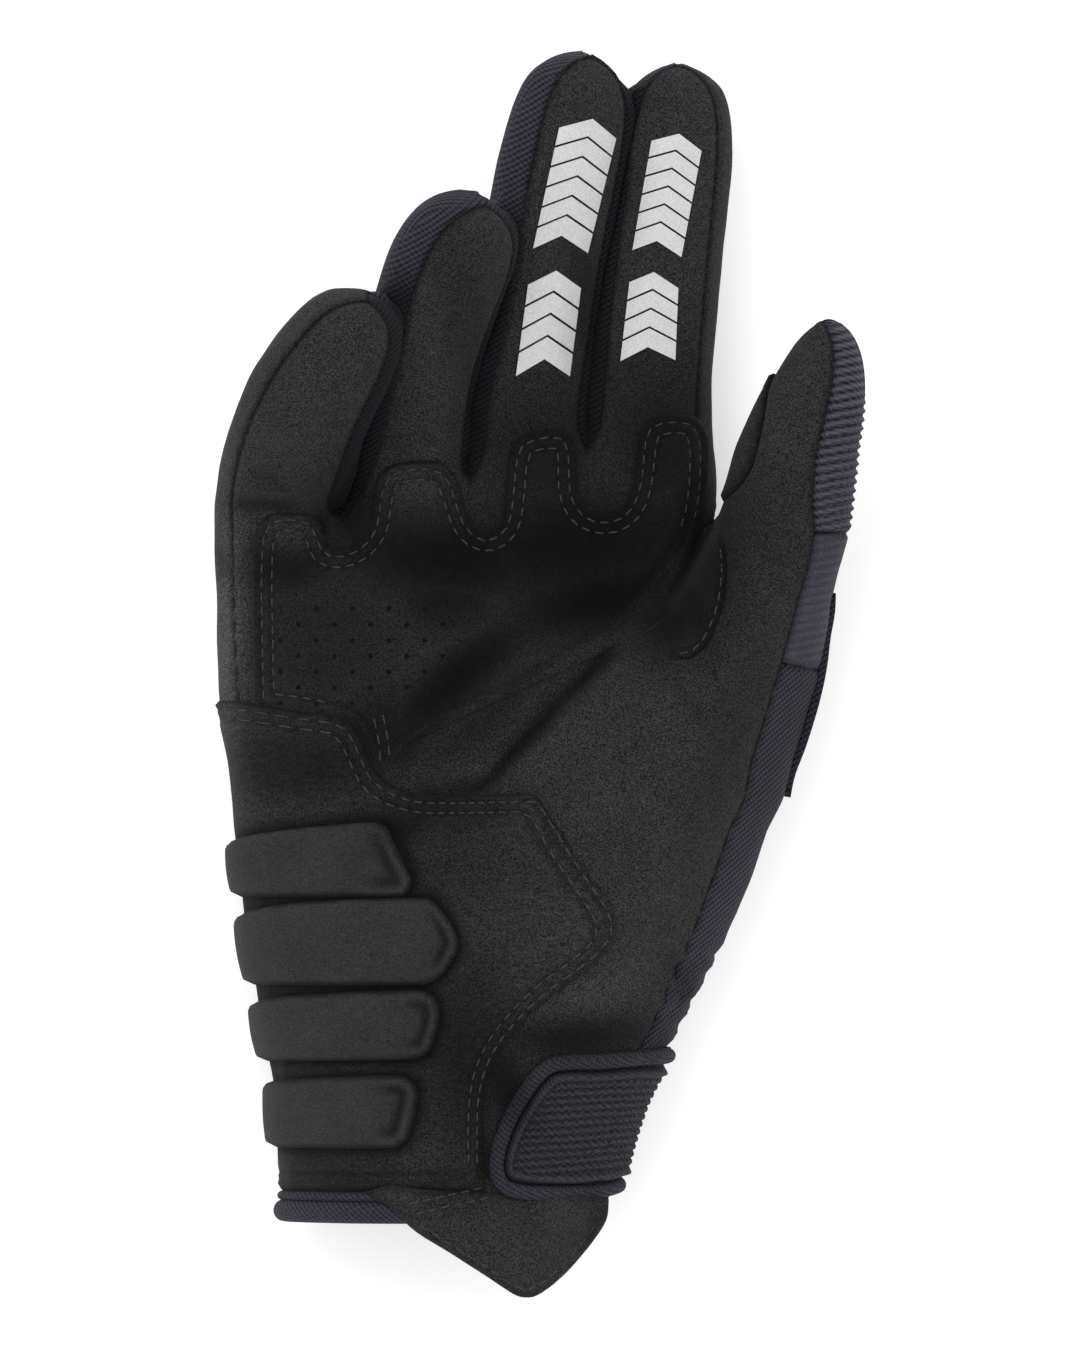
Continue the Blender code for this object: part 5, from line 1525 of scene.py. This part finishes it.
class GLOVE_OT_strap(bpy.types.Operator):
    """Weave the wrist strap and roll its knit binding"""

    bl_idname = "glove.strap"
    bl_label = "Wrist strap"

    ROW, TOOTH = 0.00152, 0.0019  # height of a woven row, and length of its zigzag

    def ribs(self, flat):
        """The woven rows, from -1 in the valleys to 1 on the ridges."""
        zigzag = 0.30 * np.abs((flat[:, 0] / self.TOOTH) % 1.0 * 2 - 1)
        return np.cos(2 * math.pi * ((flat[:, 1] - 0.06 * flat[:, 0]) / self.ROW + zigzag))

    def execute(self, context):
        thickness = sizes().strap_thickness
        radius = sizes().binding_radius
        outline = read_outline(STRAP, HAND, 0.0007)

        def profile(flat, away):
            woven = smooth_step(away, 0.0046, 0.0056)
            piping = 0.0007 * bell(away - 0.0041, 0.0006)
            edge = np.clip(0.5 + away / 0.004, 0, 1)
            rows = 0.00028 * self.ribs(flat) * woven
            return thickness * edge + rows + piping + groove(away - 0.0030, 0.0011, 0.0005)

        points, faces, away, flat = laid_sheet(outline, HAND, 0.00038, profile, smoothing=9)
        # Painted shade in the grooves beside the piping, in the valleys of the woven rows and along the edge, deep
        # painted shade underneath
        grooves = np.maximum(1.5 * bell(away - 0.0030, 0.0006), bell(away - 0.0051, 0.0004))
        rows = 0.95 * (0.5 - 0.5 * self.ribs(flat)) * smooth_step(away, 0.0046, 0.0056)
        crease = two_sided(np.maximum(np.maximum(grooves, rows), away < 0.0012), 1.5)
        add_piece("strap_webbing", points, faces, "strap_weave", ("wrist_strap",), shades=crease)
        path, normals = [], []
        for place in inset_line(even_line(outline, 0.0009, closed=True), radius * 0.9):
            spot, normal = HAND.cast(place)
            path.append(spot + normal * radius * 0.9)
            normals.append(normal)
        path, normals = np.array(path), unit(smooth_ring(np.array(normals), 6))
        path = smooth_ring(path, 3)
        turns = [2 * math.pi * k / 12 for k in range(12)]
        ring = [(math.cos(turn) * radius * 1.05, math.sin(turn) * radius) for turn in turns]
        points, faces = swept(path, normals, ring, closed=True)
        add_piece("strap_piping", above_floor(points), faces, "binding_knit", ("strap_binding",))
        return {"FINISHED"}


def smooth_ring(values, times):
    for _ in range(times):
        values = 0.5 * values + 0.25 * (np.roll(values, 1, axis=0) + np.roll(values, -1, axis=0))
    return values


class GLOVE_OT_cuff(bpy.types.Operator):
    """Roll the knit binding of the cuff and hang the stitched tab"""

    bl_idname = "glove.cuff"
    bl_label = "Cuff binding and tab"

    # Top and low pixel rows of each roll, and its thickness: an upper, thin one and a lower, thicker one
    ROLLS = ((1191, 1201, 0.0013), (1200, 1222, 0.0021))
    ROLL_ENDS = (430, 565)  # the columns between which the tab hides the roll's ends
    UNDER_TAB = 595  # the roll keeps to the left of this column, to stay under the tab
    PATH_POINTS = 220

    def execute(self, context):
        self.roll()
        self.tab()
        return {"FINISHED"}

    def roll(self):
        """The cuff's roll follows the shell just above its end, all round the wrist."""
        left, right = (math.atan2(0.030, x_of(column) - HAND_AXIS[0]) for column in self.ROLL_ENDS)
        centre = np.array((HAND_AXIS[0], y_of(self.ROLLS[0][0] - 3), HAND_AXIS[1]))
        path, out = [], []
        for turn in np.linspace(left, right + 2 * math.pi, self.PATH_POINTS):
            way = np.array((math.cos(turn), 0.0, math.sin(turn)))
            place, _ = ground.hit(centre + way * 0.08, -way)
            if place is not None:
                path.append(np.array(place) - way * 0.0006)
                out.append(way)
        path, out = np.array(path), np.array(out)
        path[:, 0] = np.minimum(path[:, 0], x_of(self.UNDER_TAB))
        for _ in range(12):
            path[1:-1] = 0.5 * path[1:-1] + 0.25 * (path[:-2] + path[2:])
        path[:, 2] = np.maximum(path[:, 2], self.ROLLS[1][2])
        made, faces = [], []
        for top, low_row, thick in self.ROLLS:
            half = (low_row - top) / 2 * PIXEL
            path[:, 1] = y_of((top + low_row) / 2)
            turns = [2 * math.pi * k / 16 for k in range(16)]
            profile = [(math.sin(turn) * half, math.cos(turn) * thick) for turn in turns]
            ring, ring_faces = swept(path, out, profile)
            faces += [tuple(v + sum(map(len, made)) for v in face) for face in ring_faces]
            made.append(ring)
        made = above_floor(np.concatenate(made))
        ground.add(add_piece("cuff_roll", made, faces, "binding_knit", ("cuff_binding",)))

    def tab(self):
        """The tab keeps its CAD solid's curve, runs up over the cuff and has a rolled edge and a row of stitches."""
        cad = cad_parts["cuff_tab"].data
        tree = BVHTree.FromPolygons([Vector(p) for p in mesh_points(cad)], [tuple(p.vertices) for p in cad.polygons])
        outline = even_line(counter_clockwise(smooth_line(plan(TAB), 0.0008)), 0.0008, closed=True)

        class Tab(Above):
            """Reads places on the tab from above, and carries its curve on past its edge."""

            def cast(self, flat):
                place, normal, _, _ = tree.ray_cast(Vector((flat[0], flat[1], 1.0)), Vector((0, 0, -1)))
                if place is None:
                    near, normal, _, _ = tree.find_nearest(Vector((flat[0], flat[1], 0.04)))
                    place = Vector((flat[0], flat[1], near.z))
                height = place.z - 0.0016
                below, _ = ground.hit((flat[0], flat[1], 1.0), (0, 0, -1))
                if below is not None and flat[1] > y_of(1226):
                    height = max(height, below.z + 0.0002)
                return np.array((flat[0], flat[1], height)), np.array(normal)

        wrap = Tab()
        line = inset_line(outline, 0.0015)
        line = line[line[:, 1] < y_of(1222)]
        turns = np.arctan2(line[:, 1] - y_of(1215), line[:, 0] - x_of(510))
        line = line[np.argsort(np.unwrap(turns))]

        def profile(flat, away):
            return rounded_edge(away, 0.0014, 0.0012) + groove(line_distance(flat, line), 0.0003, 0.0007)

        points, faces, away, flat = laid_sheet(outline, wrap, 0.0009, profile, sink=0.0, smoothing=10)
        # Painted shade along the tab's edge and underneath
        crease = two_sided(0.7 * np.exp(-away / 0.0006), 0.4)
        ground.add(add_piece("tab_suede", points, faces, "suede", ("cuff_tab",), shades=crease))
        sew_lines("tab_stitches", [line], ABOVE, closed=False)


class GLOVE_OT_seams(bpy.types.Operator):
    """Sew the short lines beside the strap"""

    bl_idname = "glove.seams"
    bl_label = "Seam stitches"

    def execute(self, context):
        thread = Thread()
        for pixels in SEAM_LINES:
            thread.sew(smooth_line(plan(pixels), 0.001, closed=False), ABOVE, sag=0.0001)
        thread.piece("wrist_stitches")
        return {"FINISHED"}


class GLOVE_OT_guard(bpy.types.Operator):
    """Smooth the guard on the back of the thumb side"""

    bl_idname = "glove.guard"
    bl_label = "Back guard"

    def execute(self, context):
        mesh, _ = refined_panel("back_guard", 2)
        mesh.name = "guard_knit"
        set_points(mesh, mesh_points(mesh) - np.array((GUARD_INSET, 0, 0)))
        finish_piece("guard_knit", mesh, "twill_knit", ("back_guard",))
        return {"FINISHED"}


class GLOVE_OT_stage(bpy.types.Operator):
    """Place the floor, the lights and the camera"""

    bl_idname = "glove.stage"
    bl_label = "Stage"

    FLOOR_REACH = 30
    DROP = 0.0002  # how far the floor lies under the glove
    # Name, place, width and power in watts
    LAMPS = (
        ("key", (-0.6, 0.9, 1.6), 1.0, 11.0),
        ("fill", (1.4, -0.6, 1.5), 1.6, 3.0),
    )

    def execute(self, context):
        scene = context.scene
        mesh = bpy.data.meshes.new("floor")
        reach = self.FLOOR_REACH
        corners = [(x, y, -self.DROP) for x, y in ((-reach, -reach), (reach, -reach), (reach, reach), (-reach, reach))]
        mesh.from_pydata(corners, [], [(0, 1, 2, 3)])
        floor = bpy.data.objects.new("floor", mesh)
        scene.collection.objects.link(floor)
        paper = bpy.data.materials.new("floor_paper")
        paper.use_nodes = True
        shader = paper.node_tree.nodes["Principled BSDF"]
        for socket, value in (
            ("Base Color", (*colours().floor, 1)),
            ("Roughness", 0.9),
            ("Specular IOR Level", 0.1),
            ("Emission Color", (1, 1, 1, 1)),
            ("Emission Strength", 0.45),
        ):
            shader.inputs[socket].default_value = value
        mesh.materials.append(paper)
        world = bpy.data.worlds.new("soft room")
        world.use_nodes = True
        world.node_tree.nodes["Background"].inputs["Color"].default_value = (1, 1, 1, 1)
        world.node_tree.nodes["Background"].inputs["Strength"].default_value = 1.0
        scene.world = world
        for name, place, size, power in self.LAMPS:
            light = bpy.data.lights.new(name, "AREA")
            light.size = size
            light.energy = power
            lamp = bpy.data.objects.new(name, light)
            lamp.location = place
            lamp.rotation_euler = (Vector((0, 0, 0)) - Vector(place)).to_track_quat("-Z", "Y").to_euler()
            scene.collection.objects.link(lamp)
        data = bpy.data.cameras.new("camera")
        distance = sizes().camera_distance
        data.sensor_width = 36.0
        data.lens = 36.0 * distance / (1350 * PIXEL)
        data.clip_start, data.clip_end = 0.1, 3 * distance
        camera = bpy.data.objects.new("camera", data)
        middle = plan((540, 675))
        camera.location = (float(middle[0]), float(middle[1]), distance + 0.025)
        scene.collection.objects.link(camera)
        scene.camera = camera
        scene.view_settings.view_transform = "Standard"
        return {"FINISHED"}


OPERATORS = (
    GLOVE_OT_shell,
    GLOVE_OT_palm_patch,
    GLOVE_OT_heel_patch,
    GLOVE_OT_heel_pads,
    GLOVE_OT_thumb_pieces,
    GLOVE_OT_guard,
    GLOVE_OT_chevrons,
    GLOVE_OT_strap,
    GLOVE_OT_cuff,
    GLOVE_OT_seams,
    GLOVE_OT_stage,
)


class GLOVE_PT_panel(bpy.types.Panel):
    """Lists the sizes, the colours and the pieces."""

    bl_idname = "GLOVE_PT_panel"
    bl_label = "Motorcycle glove"
    bl_space_type = "VIEW_3D"
    bl_region_type = "UI"
    bl_category = "Glove"

    def draw(self, context):
        layout = self.layout
        for group in (context.scene.glove_sizes, context.scene.glove_colours):
            column = layout.column()
            for name in group.__annotations__:
                column.prop(group, name)
        for operator in OPERATORS:
            layout.operator(operator.bl_idname)


CLASSES = (GloveSizes, GloveColours, *OPERATORS, GLOVE_PT_panel)


def register():
    for item in CLASSES:
        bpy.utils.register_class(item)
    bpy.types.Scene.glove_sizes = bpy.props.PointerProperty(type=GloveSizes)
    bpy.types.Scene.glove_colours = bpy.props.PointerProperty(type=GloveColours)


def unregister():
    del bpy.types.Scene.glove_colours
    del bpy.types.Scene.glove_sizes
    for item in reversed(CLASSES):
        bpy.utils.unregister_class(item)


def main():
    register()
    for operator in OPERATORS:
        group, name = operator.bl_idname.split(".")
        getattr(getattr(bpy.ops, group), name)()
    bpy.context.view_layer.update()


if __name__ == "__main__":
    main()
